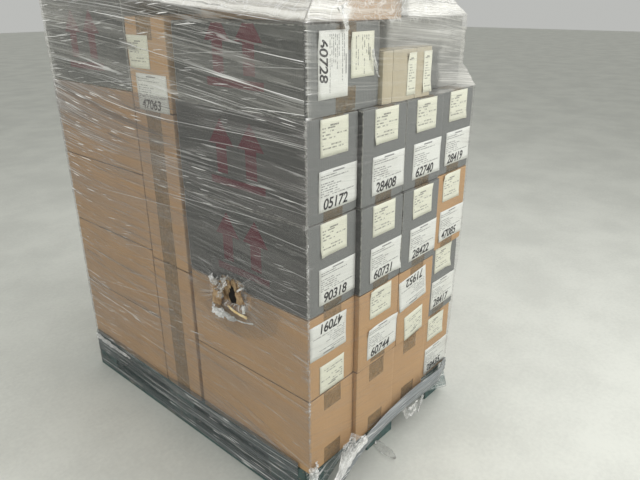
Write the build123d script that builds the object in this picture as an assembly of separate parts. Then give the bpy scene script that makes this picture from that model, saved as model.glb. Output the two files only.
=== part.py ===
from build123d import *
import os

# Wrapped pallet load: stacked cardboard cartons on a four-way wooden pallet under clear stretch film.
# Millimetres. Origin: centre of the pallet's footprint on the floor. +Y along the pallet's long side, +Z up.
# The label face of the load looks along -Y. The long side that carries the tear looks along -X.

# Pallet: five deck boards on three cross boards on nine blocks on three runners.
PALLET_LENGTH = 1200.0
PALLET_WIDTH = 800.0
DECK_THICKNESS = 22.0
CROSS_THICKNESS = 22.0
BLOCK_HEIGHT = 78.0
RUNNER_THICKNESS = 22.0
WIDE_BOARD = 145.0
NARROW_BOARD = 100.0
CROSS_BOARD_WIDTH = 145.0
BLOCK_LENGTH = 145.0
CORNER_BEVEL = 14.0
RUNNER_BEVEL = 9.0

# Cartons as they stand upright: width across the label end, depth from end to end, height.
CARTON_WIDTH = 196.0
CARTON_DEPTH = 500.0
CARTON_HEIGHT = 261.2
LYING_WIDTH = 268.0
LYING_HEIGHT = 207.0
SMALL_WIDTHS = (45.0, 109.0, 78.0)
SMALL_DEPTH = 58.0
SMALL_HEIGHT = 137.0

# How a case is folded: outer flaps that meet over the middle, set in a little from the two ends.
FLAP_DEPTH = 4.0
FLAP_INSET = 1.6
FLAP_SEAM = 2.0
FOLD = 2.0

# Closing tape along each flap seam, with a tail down both ends.
TAPE_WIDTH = 75.0
TAPE_THICKNESS = 0.3
TAPE_TAIL = 62.0

# Paper labels: width and height, and where their middles lie on the end of an upright carton.
LABEL_THICKNESS = 0.3
ADDRESS_LABEL = (152.0, 107.0)
ADDRESS_AT = (117.0, 79.0)
ITEM_LABEL = (106.0, 92.0)
ITEM_AT = (101.0, 211.0)
STRIP_LABEL = (44.0, 112.0)
LYING_ADDRESS_AT = (86.0, 116.0)
LYING_ITEM_AT = (196.0, 132.0)
SIDE_ADDRESS_AT = (88.0, 52.0)
SIDE_ITEM_AT = (136.0, 165.0)
LOW_SHIFT = 14.0
SKEW_ANGLE = 6.0

# How the load is stacked. Cartons of the near row stand proud of its near corner by these, by layer and column.
LAYERS = 4
STACK_GAP = 0.8
COLUMN_GAP = 1.2
ROW_GAP = 6.0
FRONT_OVERHANG = 30.0
PROUD = (
    (0.0, 14.0, 8.0, -12.0),
    (0.0, 17.0, 18.0, -4.0),
    (0.0, 18.0, 20.0, 6.0),
    (0.0, 15.0, 15.0, 6.0),
)
SMALL_PROUD = 12.0
LYING_CARTON_INSET = 9.0
ROOF_CARTON_INSET = 122.0
ROOF_CARTON_SETBACK = 10.0

# Stretch film.
FILM_THICKNESS = 0.8
FILM_CLEARANCE = 0.3
FILM_HEM = 28.0
FILM_LEDGE = 65.0
SKIRT_FLOOR_GAP = 14.0
BAND_THICKNESS = 16.0
BAND_HEIGHT = 44.0
BAND_BEVEL = 6.0
TAIL_THICKNESS = 5.0
TAIL_ROUND = 12.0

# Route of the gathered hem along the front: in from the left-hand corner and up from the deck's top while it rises
# from the floor, then in from the right-hand corner.
BAND_RISE = ((3.0, -116.0), (75.0, -84.0), (165.0, -8.0), (300.0, 20.0))
BAND_RUN = ((268.0, 22.0), (2.0, -10.0))
BAND_RADII = (170.0, 190.0, 400.0, 900.0)

# Tear in the wrap on the long side: points by distance from the near corner, and up from the deck's top.
TEAR_OUTLINE = (
    (219.0, 505.0), (236.0, 548.0), (262.0, 566.0), (291.0, 573.0), (334.0, 560.0), (371.0, 541.0),
    (404.0, 512.0), (392.0, 474.0), (347.0, 455.0), (300.0, 446.0), (256.0, 458.0), (230.0, 476.0),
)

# Loose tail of film on the floor, by distance from the pallet's middle and out from its front.
TAIL_OUTLINE = ((-46.0, 0.0), (-8.0, 0.0), (18.0, 40.0), (40.0, 92.0), (2.0, 100.0), (-52.0, 66.0))

# Labels on the near row by layer and column: upright, upside down with the carton, slipped, or none.
LABEL_PLAN = (
    ("none", "none", "none", "low"),
    ("down", "up", "skew", "up"),
    ("up", "up", "up", "up"),
    ("up", "up", "up", "up"),
)

# Places that follow from the sizes above.
COLUMNS = len(PROUD[0])
ACROSS_ON_END = 3
DECK_TOP = RUNNER_THICKNESS + BLOCK_HEIGHT + CROSS_THICKNESS + DECK_THICKNESS
PITCH = CARTON_HEIGHT + STACK_GAP
LOAD_WIDTH = max(
    COLUMNS * (CARTON_WIDTH + COLUMN_GAP),
    ACROSS_ON_END * (CARTON_HEIGHT + COLUMN_GAP),
    LYING_CARTON_INSET + LYING_WIDTH + COLUMN_GAP + CARTON_DEPTH,
) - COLUMN_GAP
LEFT = -LOAD_WIDTH / 2
RIGHT = LOAD_WIDTH / 2
FRONT = -PALLET_LENGTH / 2 - FRONT_OVERHANG
PROUDEST = FRONT - max(max(row) for row in PROUD)
LAYER_Z = [DECK_TOP + TAPE_THICKNESS + level * PITCH for level in range(LAYERS + 1)]
COLUMN_X = [LEFT + column * (LOAD_WIDTH - CARTON_WIDTH) / (COLUMNS - 1) for column in range(COLUMNS)]
MIDDLE_FRONT = FRONT + CARTON_DEPTH - min(min(row) for row in PROUD) + ROW_GAP
FAR_FRONT = MIDDLE_FRONT + CARTON_WIDTH + ROW_GAP
BACK = FAR_FRONT + CARTON_DEPTH
MIDDLE_TOP = LAYER_Z[0] + 2 * (CARTON_DEPTH + STACK_GAP)
UPPER_Z = LAYER_Z[LAYERS]
ROOF_Z = UPPER_Z + LYING_HEIGHT + STACK_GAP
FILM_OUT = TAPE_THICKNESS + LABEL_THICKNESS + FILM_CLEARANCE + FILM_THICKNESS
FILM_LOW = DECK_TOP + FILM_HEM
LYING_X = LEFT + LYING_CARTON_INSET
SMALL_X = LYING_X + LYING_WIDTH + COLUMN_GAP
SMALL_FRONT = FRONT - SMALL_PROUD
TURNED_X = SMALL_X
TURNED_FRONT = SMALL_FRONT + SMALL_DEPTH + COLUMN_GAP
HIDDEN_FRONT = TURNED_FRONT + LYING_WIDTH + COLUMN_GAP
ROOF_X = LEFT + ROOF_CARTON_INSET
ROOF_FRONT = FRONT + ROOF_CARTON_SETBACK
STANDARD = (CARTON_WIDTH, CARTON_DEPTH, CARTON_HEIGHT)
SHORT = (CARTON_WIDTH, LOAD_WIDTH - CARTON_DEPTH - ROW_GAP, CARTON_HEIGHT)
LYING = (LYING_WIDTH, CARTON_DEPTH, LYING_HEIGHT)
ROOF_CARTON = (CARTON_HEIGHT, CARTON_DEPTH, CARTON_WIDTH)

LOW = (Align.MIN, Align.MIN, Align.MIN)


def block(x, y, z, width, depth, height):
    """A square-edged block with its lowest corner at x, y, z."""
    return Pos(x, y, z) * Box(width, depth, height, align=LOW)


def bevelled(width, height):
    """A rectangle from the origin with its four corners taken off, as a folded board edge is."""
    outline = Pos(width / 2, height / 2) * Rectangle(width, height)
    return chamfer(outline.vertices(), FOLD)


def carton(width, depth, height):
    """A closed case: its walls run the full depth, its outer flaps are set in and meet over a seam."""
    walls = Pos(0, 0, FLAP_DEPTH) * extrude(bevelled(width, depth), height - 2 * FLAP_DEPTH)
    outline = bevelled(width, height)
    for seam_z in (0, height):
        outline -= Pos(width / 2, seam_z) * Rectangle(FLAP_SEAM, 2 * FLAP_DEPTH)
    flaps = extrude(Plane.XZ * outline, -(depth - 2 * FLAP_INSET))
    return walls + Pos(0, FLAP_INSET, 0) * flaps


def tape(width, depth, height, top):
    """One strip of tape over a flap seam, with its two tails turned down the ends."""
    flat = [(-TAPE_THICKNESS, 0), (depth + TAPE_THICKNESS, 0)]
    outer = [flat[0], flat[1], (flat[1][0], TAPE_TAIL), (depth, TAPE_TAIL), (depth, TAPE_THICKNESS)]
    inner = [(0, TAPE_THICKNESS), (0, TAPE_TAIL), (flat[0][0], TAPE_TAIL)]
    profile = make_face(Polyline(outer + inner, close=True))
    strip = extrude(Plane.YZ * profile, TAPE_WIDTH)
    if top:
        strip = Pos(0, 0, height + TAPE_THICKNESS) * mirror(strip, Plane.XY)
    else:
        strip = Pos(0, 0, -TAPE_THICKNESS) * strip
    return Pos((width - TAPE_WIDTH) / 2, 0, 0) * strip


def pallet_corner_cut(shape):
    """The four upright corners of the pallet are bevelled through boards, blocks and runners alike."""
    reach = CORNER_BEVEL * 2 ** 0.5
    for x in (-PALLET_WIDTH / 2, PALLET_WIDTH / 2):
        for y in (-PALLET_LENGTH / 2, PALLET_LENGTH / 2):
            shape -= Pos(x, y, DECK_TOP / 2) * Rot(0, 0, 45) * Box(reach, reach, 2 * DECK_TOP)
    return shape


def deck_boards():
    """Wide boards over the three lines of blocks and narrow ones between them."""
    edge = (PALLET_WIDTH - WIDE_BOARD) / 2
    places = ((-edge, WIDE_BOARD), (-edge / 2, NARROW_BOARD), (0, WIDE_BOARD), (edge / 2, NARROW_BOARD), (edge, WIDE_BOARD))
    z = DECK_TOP - DECK_THICKNESS / 2
    return [pallet_corner_cut(Pos(x, 0, z) * Box(width, PALLET_LENGTH, DECK_THICKNESS)) for x, width in places]


def block_stations():
    """Where the cross boards and the blocks stand along the pallet."""
    edge = (PALLET_LENGTH - BLOCK_LENGTH) / 2
    return (-edge, 0, edge)


def rail_places():
    """Middles and widths of the three lines of blocks and of the runners under them."""
    edge = (PALLET_WIDTH - NARROW_BOARD) / 2
    return ((-edge, NARROW_BOARD), (0, WIDE_BOARD), (edge, NARROW_BOARD))


def cross_boards():
    z = DECK_TOP - DECK_THICKNESS - CROSS_THICKNESS / 2
    boards = [Pos(0, y, z) * Box(PALLET_WIDTH, CROSS_BOARD_WIDTH, CROSS_THICKNESS) for y in block_stations()]
    return [pallet_corner_cut(board) for board in boards]


def pallet_blocks():
    z = RUNNER_THICKNESS + BLOCK_HEIGHT / 2
    blocks = []
    for x, width in rail_places():
        for y in block_stations():
            blocks.append(pallet_corner_cut(Pos(x, y, z) * Box(width, BLOCK_LENGTH, BLOCK_HEIGHT)))
    return blocks


def runner(x, width):
    """A runner, with its top edges bevelled between the blocks so that a truck's rollers ride over it."""
    body = Pos(x, 0, RUNNER_THICKNESS / 2) * Box(width, PALLET_LENGTH, RUNNER_THICKNESS)
    span = (PALLET_LENGTH - 3 * BLOCK_LENGTH) / 2
    for side in (-1, 1):
        for y in (-(BLOCK_LENGTH + span) / 2, (BLOCK_LENGTH + span) / 2):
            edge = Pos(x + side * width / 2, y, RUNNER_THICKNESS)
            body -= edge * Rot(0, 45, 0) * Box(RUNNER_BEVEL * 2 ** 0.5, span, RUNNER_BEVEL * 2 ** 0.5)
    return pallet_corner_cut(body)


def case_and_tapes(size):
    """A case, the tape over its top seam and the tape over its bottom seam."""
    return carton(*size), tape(*size, top=True), tape(*size, top=False)


CASES = {size: case_and_tapes(size) for size in (STANDARD, SHORT, LYING)}


def upright(x, y, z, size=STANDARD):
    """A carton with its ends facing -Y and +Y."""
    return [Pos(x, y, z) * piece for piece in CASES[size]]


def turned(x, y, z, size=STANDARD):
    """A carton turned a quarter round, with its ends facing -X and +X."""
    return [Pos(x + size[1], y, z) * Rot(0, 0, 90) * piece for piece in CASES[size]]


def on_end(x, y, z, size=STANDARD):
    """A carton standing on its end, with its taped flap faces towards -X and +X."""
    return [Pos(x, y, z) * Rot(0, 0, 90) * Rot(90, 0, 0) * piece for piece in CASES[size]]


def front_label(size, x, z, y, turn=0.0):
    """A paper label on a face that looks along -Y, centred at x and z, over the tape's tail."""
    return Pos(x, y - TAPE_THICKNESS - LABEL_THICKNESS / 2, z) * Rot(0, turn, 0) * Box(size[0], LABEL_THICKNESS, size[1])


def side_label(size, y, z, x):
    """A paper label on a face that looks along -X, centred at y and z."""
    return Pos(x - TAPE_THICKNESS - LABEL_THICKNESS / 2, y, z) * Box(LABEL_THICKNESS, size[0], size[1])


def carton_labels(plan, x, y, z):
    """The two labels on the end of an upright carton whose lowest front corner is at x, y, z."""
    placed = []
    for size, (across, up) in ((ADDRESS_LABEL, ADDRESS_AT), (ITEM_LABEL, ITEM_AT)):
        if plan in ("down", "skew"):
            across, up = CARTON_WIDTH - across, CARTON_HEIGHT - up
        if plan == "low":
            up -= LOW_SHIFT
        turn = SKEW_ANGLE if plan == "skew" else 0.0
        placed.append(front_label(size, x + across, z + up, y, turn))
    return placed


def upper_labels():
    """Labels of the upper layer and of the turned carton on the long side."""
    quarter_address = (ADDRESS_LABEL[1], ADDRESS_LABEL[0])
    quarter_item = (ITEM_LABEL[1], ITEM_LABEL[0])
    placed = [
        front_label(quarter_address, LYING_X + LYING_ADDRESS_AT[0], UPPER_Z + LYING_ADDRESS_AT[1], FRONT),
        front_label(quarter_item, LYING_X + LYING_ITEM_AT[0], UPPER_Z + LYING_ITEM_AT[1], FRONT),
        side_label(ADDRESS_LABEL, MIDDLE_FRONT + SIDE_ADDRESS_AT[0], MIDDLE_TOP + SIDE_ADDRESS_AT[1], LEFT),
        side_label(ITEM_LABEL, MIDDLE_FRONT + SIDE_ITEM_AT[0], MIDDLE_TOP + SIDE_ITEM_AT[1], LEFT),
    ]
    right_edge = SMALL_X + SMALL_WIDTHS[0]
    for width in SMALL_WIDTHS[1:]:
        right_edge += width
        x = right_edge - COLUMN_GAP - STRIP_LABEL[0] / 2
        placed.append(front_label(STRIP_LABEL, x, UPPER_Z + SMALL_HEIGHT / 2, SMALL_FRONT))
    return placed


def faceted_body(rings):
    """A closed body through rings of corners, one above the other. Each side between two rings is two flat
    triangles, folded along the diagonal that stands further out, as tight film is."""
    rings = [[Vector(*corner) for corner in ring] for ring in rings]
    outlines = [rings[0], rings[-1]]
    for lower, upper in zip(rings, rings[1:]):
        for corner in range(len(lower)):
            a, b, c, d = lower[corner - 1], lower[corner], upper[corner], upper[corner - 1]
            outward = (b - a).cross(d - a)
            if (a + c - b - d).dot(outward) > 0:
                outlines += [[a, b, c], [a, c, d]]
            else:
                outlines += [[a, b, d], [b, c, d]]
    return Solid(Shell([Face(Wire.make_polygon(outline, close=True)) for outline in outlines]))


def stack_ring(z, corner_proud, out):
    """The film's line round the stack in plan at one height: it is pulled straight from carton to carton."""
    return [
        (LEFT - out, FRONT - out, z),
        (COLUMN_X[1], PROUDEST - out, z),
        (COLUMN_X[2] + CARTON_WIDTH, PROUDEST - out, z),
        (RIGHT + out, FRONT - corner_proud - out, z),
        (RIGHT + out, BACK + out, z),
        (LEFT - out, BACK + out, z),
    ]


def stack_body(out, low, high):
    """The body inside the film round the four layers. The lower layers fall back at the right-hand corner."""
    corner = [row[-1] for row in PROUD]
    rings = [stack_ring(low, corner[0], out)]
    for layer in range(1, LAYERS):
        rings.append(stack_ring(LAYER_Z[layer], max(corner[layer - 1], corner[layer]), out))
    rings.append(stack_ring(high, corner[-1], out))
    return faceted_body(rings)


def tent_body(out, low):
    """The body inside the film over the upper layers, drawn in to the top carton."""
    corner = PROUD[-1][-1]
    small_right = SMALL_X + sum(SMALL_WIDTHS)
    near_eave = ROOF_Z + out
    far_eave = max(UPPER_Z, MIDDLE_TOP) + CARTON_HEIGHT + TAPE_THICKNESS + out
    ridge = ROOF_Z + CARTON_WIDTH + out
    ledge = UPPER_Z + FILM_LEDGE
    roof_right = ROOF_X + CARTON_HEIGHT
    roof_back = ROOF_FRONT + CARTON_DEPTH

    def sides(z_near, z_far, front_right):
        return [
            (LEFT - out, FRONT - out, z_near),
            (COLUMN_X[1], PROUDEST - out, z_near),
            (small_right, PROUDEST - out, z_near),
            (RIGHT + out, front_right - out, z_near),
            (RIGHT + out, FAR_FRONT, z_far),
            (RIGHT + out, BACK + out, z_far),
            (LEFT - out, BACK + out, z_far),
            (LEFT - out, FAR_FRONT, z_far),
        ]

    top = [
        (ROOF_X - out, FRONT - out, ridge),
        ((ROOF_X * 2 + roof_right) / 3, FRONT - out, ridge),
        ((ROOF_X + roof_right * 2) / 3, FRONT - out, ridge),
        (roof_right + out, FRONT - out, ridge),
        (roof_right + out, ROOF_FRONT + CARTON_DEPTH / 2, ridge),
        (roof_right + out, roof_back + out, ridge),
        (ROOF_X - out, roof_back + out, ridge),
        (ROOF_X - out, ROOF_FRONT + CARTON_DEPTH / 2, ridge),
    ]
    return faceted_body([
        sides(low, low, FRONT - corner),
        sides(ledge, ledge, TURNED_FRONT),
        sides(near_eave, far_eave, TURNED_FRONT),
        top,
    ])


def film_skin(body, low, *span):
    """A skin of even thickness: the outer body less the same body drawn in."""
    inside = FILM_OUT - FILM_THICKNESS
    return body(FILM_OUT, low, *span) - body(inside, low - FILM_THICKNESS, *span)


def tear():
    """The torn opening, cut square through the long side of the wrap."""
    points = [(FRONT + inwards, DECK_TOP + up) for inwards, up in TEAR_OUTLINE]
    return extrude(Plane.YZ.offset(LEFT - 2 * FILM_OUT) * make_face(Polyline(points, close=True)), 4 * FILM_OUT)


def skirt(side):
    """Film that comes down past the deck on a long side, over the blocks and nearly to the floor."""
    inner = RIGHT + FILM_OUT - FILM_THICKNESS
    outer = max(inner, PALLET_WIDTH / 2 + FILM_CLEARANCE)
    steps = [(inner, FILM_LOW), (outer, DECK_TOP), (outer, SKIRT_FLOOR_GAP)]
    thick = [(x + FILM_THICKNESS, z) for x, z in reversed(steps)]
    profile = make_face(Polyline([(side * x, z) for x, z in steps + thick], close=True))
    return extrude(Plane.XZ * profile, PALLET_LENGTH / 2 - CORNER_BEVEL, both=True)


def front_band():
    """The gathered hem of the film: a flat rope from the near corner's foot up and along the deck's edge."""
    y = PROUDEST - FILM_OUT - FILM_CLEARANCE - BAND_THICKNESS / 2
    route = [(LEFT + inwards, y, DECK_TOP + up) for inwards, up in BAND_RISE]
    route += [(RIGHT - inwards, y, DECK_TOP + up) for inwards, up in BAND_RUN]
    path = FilletPolyline(*route, radius=BAND_RADII)
    section = Rectangle(BAND_THICKNESS, BAND_HEIGHT)
    section = chamfer(section.vertices(), BAND_BEVEL)
    start = Plane(origin=path @ 0, z_dir=path % 0, x_dir=(0, 1, 0))
    return sweep(start * section, path=path)


def floor_tail():
    """A loose tail of film that lies on the floor before the middle block."""
    edge = -PALLET_LENGTH / 2 - FILM_CLEARANCE
    outline = Polyline([(across, edge - out) for across, out in TAIL_OUTLINE], close=True)
    return extrude(make_face(fillet(outline.vertices(), TAIL_ROUND)), TAIL_THICKNESS)


nodes = {}
top_tapes = []
bottom_tapes = []


def add_carton(name, pieces):
    """Give a carton its node, or its share of one, and put its tapes with the others."""
    nodes.setdefault(name, []).append(pieces[0])
    top_tapes.append(pieces[1])
    bottom_tapes.append(pieces[2])


nodes["pallet_deck_boards"] = deck_boards()
nodes["pallet_cross_boards"] = cross_boards()
nodes["pallet_blocks"] = pallet_blocks()
nodes["pallet_runners"] = [runner(x, width) for x, width in rail_places()]

# Near row: every carton shows its label end.
labels = upper_labels()
for layer in range(LAYERS):
    for column in range(COLUMNS):
        place = (COLUMN_X[column], FRONT - PROUD[layer][column], LAYER_Z[layer])
        add_carton(f"carton_near_layer{layer + 1}_col{column + 1}", upright(*place))
        if LABEL_PLAN[layer][column] != "none":
            labels += carton_labels(LABEL_PLAN[layer][column], *place)
nodes["paper_labels"] = labels

# Far row, one layer higher: its left column shows on the long side, the others share a node for each layer.
for layer in range(LAYERS + 1):
    for column in range(COLUMNS):
        name = f"carton_far_layer{layer + 1}_left" if column == 0 else f"cartons_far_layer{layer + 1}"
        add_carton(name, upright(COLUMN_X[column], FAR_FRONT, LAYER_Z[layer]))

# Middle strip: cartons on end, three across and two high, the pair in the middle hidden, and two turned over them.
for tier in range(2):
    z = LAYER_Z[0] + tier * (CARTON_DEPTH + STACK_GAP)
    add_carton(f"carton_middle_tier{tier + 1}_left", on_end(LEFT, MIDDLE_FRONT, z))
    add_carton(f"carton_middle_tier{tier + 1}_right", on_end(RIGHT - CARTON_HEIGHT, MIDDLE_FRONT, z))
core_x = LEFT + CARTON_HEIGHT + COLUMN_GAP
core_size = (LOAD_WIDTH - 2 * (CARTON_HEIGHT + COLUMN_GAP), CARTON_WIDTH, MIDDLE_TOP - STACK_GAP - LAYER_Z[0])
nodes["middle_core"] = [block(core_x, MIDDLE_FRONT, LAYER_Z[0], *core_size)]
add_carton("carton_middle_top_left", turned(LEFT, MIDDLE_FRONT, MIDDLE_TOP))
add_carton("carton_middle_top_right", turned(RIGHT - SHORT[1], MIDDLE_FRONT, MIDDLE_TOP, SHORT))

# Upper layer of the near row: one carton on its side, small ones at the front, a turned one behind them.
add_carton("carton_top_lying", upright(LYING_X, FRONT, UPPER_Z, LYING))
x = SMALL_X
for index, width in enumerate(SMALL_WIDTHS):
    small = carton(width - COLUMN_GAP, SMALL_DEPTH, SMALL_HEIGHT)
    nodes[f"carton_small_{index + 1}"] = [Pos(x, SMALL_FRONT, UPPER_Z) * small]
    x += width
add_carton("carton_top_turned", turned(TURNED_X, TURNED_FRONT, UPPER_Z, LYING))
hidden_depth = FRONT + CARTON_DEPTH - HIDDEN_FRONT
nodes["carton_top_hidden"] = [block(TURNED_X, HIDDEN_FRONT, UPPER_Z, CARTON_DEPTH, hidden_depth, LYING_HEIGHT)]
nodes["carton_roof"] = [Pos(ROOF_X, ROOF_FRONT, ROOF_Z) * carton(*ROOF_CARTON)]

nodes["closing_tape_tops"] = top_tapes
nodes["closing_tape_bottoms"] = bottom_tapes

nodes["film_wrap"] = [film_skin(stack_body, FILM_LOW, UPPER_Z) - tear()]
nodes["film_top"] = [film_skin(tent_body, UPPER_Z)]
nodes["film_skirt_left"] = [skirt(-1)]
nodes["film_skirt_right"] = [skirt(1)]
nodes["film_front_band"] = [front_band()]
nodes["film_floor_tail"] = [floor_tail()]

os.makedirs("parts", exist_ok=True)
for name, pieces in nodes.items():
    shape = pieces[0] if len(pieces) == 1 else Compound(children=list(pieces))
    export_step(shape, f"parts/{name}.step")
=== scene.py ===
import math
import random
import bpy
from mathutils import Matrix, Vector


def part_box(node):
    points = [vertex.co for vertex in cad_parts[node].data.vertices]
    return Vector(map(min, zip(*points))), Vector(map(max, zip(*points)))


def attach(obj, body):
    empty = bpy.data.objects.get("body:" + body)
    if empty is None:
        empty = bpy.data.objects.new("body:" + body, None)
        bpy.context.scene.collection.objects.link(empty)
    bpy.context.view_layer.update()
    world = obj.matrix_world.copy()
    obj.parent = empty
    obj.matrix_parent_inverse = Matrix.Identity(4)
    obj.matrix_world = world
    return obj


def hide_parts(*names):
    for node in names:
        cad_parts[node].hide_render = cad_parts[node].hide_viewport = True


bl_info = {
    "name": "Wrapped pallet load",
    "version": (1, 0, 0),
    "blender": (4, 5, 0),
    "location": "View3D > Sidebar > Load",
    "description": "Finishes a pallet load: corrugated cartons, tape, labels, stretch film and painted wood",
    "category": "Object",
}

import bmesh
import bpy
from bpy.props import FloatProperty, FloatVectorProperty, IntProperty, PointerProperty
from mathutils import Matrix, Vector, noise

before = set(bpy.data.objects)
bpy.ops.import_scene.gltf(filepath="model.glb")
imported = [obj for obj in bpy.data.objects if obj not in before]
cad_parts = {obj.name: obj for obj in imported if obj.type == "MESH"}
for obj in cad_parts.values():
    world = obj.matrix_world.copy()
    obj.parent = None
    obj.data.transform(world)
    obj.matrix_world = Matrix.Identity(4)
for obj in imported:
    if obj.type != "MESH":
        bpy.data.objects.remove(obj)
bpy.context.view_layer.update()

# Places read from the parts in model.glb, in metres.
DECK_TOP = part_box("pallet_deck_boards")[1].z
LAYERS = 4
COLUMNS = 4
NEAR_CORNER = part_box("carton_near_layer1_col1")[0]
LEFT = NEAR_CORNER.x
FRONT = NEAR_CORNER.y
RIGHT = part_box("carton_near_layer1_col4")[1].x
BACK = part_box("carton_far_layer1_left")[1].y
LAYER_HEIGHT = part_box("carton_near_layer2_col1")[0].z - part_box("carton_near_layer1_col1")[0].z
FILM_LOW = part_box("film_wrap")[0].z
UPPER_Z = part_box("carton_top_lying")[0].z
FLOOR_Z = 0.0
MIDDLE_STRIP = sum(corner.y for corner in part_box("carton_middle_top_left")) / 2 - FRONT

# How a carton is folded and closed.
FOLD = 0.0022
SEAM = 0.001
SEAM_DEPTH = 0.003
FLUTE = 0.0066
TAPE_WIDTH = 0.075
TAPE_TAIL = 0.062
TAPE_OUT = 0.0004
TAPE_FACES = (4, 34)
LABEL_OUT = 0.0008
INK_OUT = 0.0016
PAPER_THICK = 0.0002
INK_THICK = 0.00015

# Faces of a carton: cuts along an edge, the cut beside each fold, and the fine cuts round the tear.
FACE_CUTS = 7
FOLD_CUT = 0.009
TEAR_CUT = 0.0055

# How far in a carton's crushed corners reach, and how far back an outer carton may stand.
CRUSH_REACH = 0.03
OUTSIDE = 0.035

# Outlines used by the film, as distance from the near corner and height over the deck's top.
TEAR = (
    (0.219, 0.505), (0.236, 0.548), (0.262, 0.566), (0.291, 0.573), (0.334, 0.560), (0.371, 0.541),
    (0.404, 0.512), (0.392, 0.474), (0.347, 0.455), (0.300, 0.446), (0.256, 0.458), (0.230, 0.476),
)
TEAR_MIDDLE = (0.312, 0.508)
SLIT_MIDDLE = (0.312, 0.488)
SLIT_HALF = (0.021, 0.040)
RAW_HALF = (0.082, 0.060)
TEAR_REACH = 0.105
CORNER_STEP = 0.0024
TOP_STEP = 0.016
FILM_THICK = 0.0003
CLEAR_OF_BOARD = 0.002
SKIRT_FACES = (260, 44)
BAND_STEPS = 150
BAND_AROUND = 64
RIM_FACES = (260, 40)

# The folds that a crumple is made of: the share and the fineness of each.
CRUMPLES = ((1.0, 1.0), (0.6, 2.3), (0.35, 5.1))

# Route of the gathered hem: in from the left-hand corner and up from the deck's top, then in from the right.
BAND_RISE = ((0.003, -0.116), (0.080, -0.087), (0.175, -0.028), (0.310, 0.010))
BAND_RUN = ((0.268, 0.022), (0.002, -0.010))

# Film stretched up from the hem: start and end from the left-hand corner, its foot at each, and then its top.
WEBS = ((0.004, 0.175, (-0.100, -0.006)), (0.560, 0.792, (-0.030, -0.118)))
WEB_TOP = -0.002

# The camera: its place from the near corner at the deck's top, how it is turned, and its focal length.
CAMERA_FROM_CORNER = (-0.9716, -0.9051, 1.3040)
CAMERA_PITCH = 22.46
CAMERA_YAW = 48.39
CAMERA_ROLL = -0.28
FOCAL_PIXELS = 581.76
PICTURE_WIDTH = 640
SENSOR_WIDTH = 36.0

# Plain numbers on the address labels, from the bottom layer up and from left to right.
NUMBERS = (
    "28435", "60744", "28417", "47091", "71952", "90318", "60731", "28422", "47085", "05172",
    "28408", "62740", "28419", "47063", "60728", "90304", "28401", "62715",
)


def a_colour(name, description, red, green, blue):
    """A colour that a user can change."""
    return FloatVectorProperty(name=name, description=description, subtype="COLOR", size=4,
                               default=(red, green, blue, 1.0))


def a_length(name, description, default):
    """A length that a user can change, in metres."""
    return FloatProperty(name=name, description=description, default=default, unit="LENGTH")


def a_power(name, description, default):
    """A lamp's power that a user can change, in watts."""
    return FloatProperty(name=name, description=description, default=default, unit="POWER")


class BoardSettings(bpy.types.PropertyGroup):
    """Colours and wear of the cartons."""

    brown: a_colour("Brown board", "Plain kraft board", 0.495, 0.310, 0.160)
    grey: a_colour("Grey board", "Board printed grey all over", 0.196, 0.203, 0.195)
    # The long sides are a darker copy of the grey board: painted shade for the sides that get less lamp
    # light.
    shaded_grey_side: a_colour("Grey side", "The grey cartons' long sides", 0.074, 0.077, 0.074)
    beige: a_colour("Beige board", "The small cartons", 0.50, 0.44, 0.31)
    mark: a_colour("Printed mark", "Handling mark on the grey cartons", 0.110, 0.012, 0.026)
    swell: a_length("Swell", "How far a free face stands out in its middle", 0.0016)
    dent: a_length("Dent", "How far the torn board is pushed in", 0.016)


class FilmSettings(bpy.types.PropertyGroup):
    """Colour, thickness and creases of the stretch film."""

    tint: a_colour("Film", "Colour where the film is creased", 0.42, 0.40, 0.385)
    gap: a_length("Gap", "How far the film stands off the board", 0.0042)
    crease: a_length("Crease", "Height of the long creases", 0.0022)
    rows: IntProperty(name="Rows", description="Rows of faces up the wrap", default=310, min=20)
    step: a_length("Step", "Length of a face along the wrap", 0.031)


class LabelSettings(bpy.types.PropertyGroup):
    """Paper and ink of the labels."""

    paper: a_colour("Paper", "Address labels", 0.79, 0.80, 0.75)
    aged: a_colour("Cream paper", "Item labels", 0.79, 0.79, 0.65)
    digit: a_length("Digit height", "Height of the plain numbers", 0.029)


class PalletSettings(bpy.types.PropertyGroup):
    """Paint and wood of the pallet."""

    paint: a_colour("Paint", "Worn blue-green paint", 0.085, 0.150, 0.142)
    wood: a_colour("Bare wood", "Grey weathered wood", 0.26, 0.24, 0.20)


class StageSettings(bpy.types.PropertyGroup):
    """Floor and lamps."""

    floor: a_colour("Floor", "Pale floor", 0.69, 0.70, 0.645)
    front_lamp: a_power("Front lamp", "Power of the lamp before the label face", 63.0)
    side_lamp: a_power("Side lamp", "Power of the lamp on the long side", 23.0)
    top_lamp: a_power("Top lamp", "Power of the lamp overhead", 60.0)


def islands(node):
    """The separate solids of a CAD node, each as its corner points."""
    mesh = bmesh.new()
    mesh.from_mesh(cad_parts[node].data)
    bmesh.ops.remove_doubles(mesh, verts=mesh.verts, dist=1e-5)
    left, found = set(mesh.verts), []
    while left:
        queue, group = [left.pop()], []
        while queue:
            vert = queue.pop()
            group.append(vert.co.copy())
            for edge in vert.link_edges:
                other = edge.other_vert(vert)
                if other in left:
                    left.discard(other)
                    queue.append(other)
        found.append(group)
    mesh.free()
    return found


def span(points):
    """Lowest and highest corner of some points."""
    low = Vector([min(point[axis] for point in points) for axis in range(3)])
    high = Vector([max(point[axis] for point in points) for axis in range(3)])
    return low, high


def smooth(value, low=0.0, high=1.0):
    """A soft step from 0 at low to 1 at high."""
    t = min(max((value - low) / (high - low), 0.0), 1.0)
    return t * t * (3 - 2 * t)


def uneven(x, y=0.0, z=0.0):
    """A smooth uneven value, between about -1 and 1."""
    return noise.noise(Vector((x, y, z)))


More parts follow.
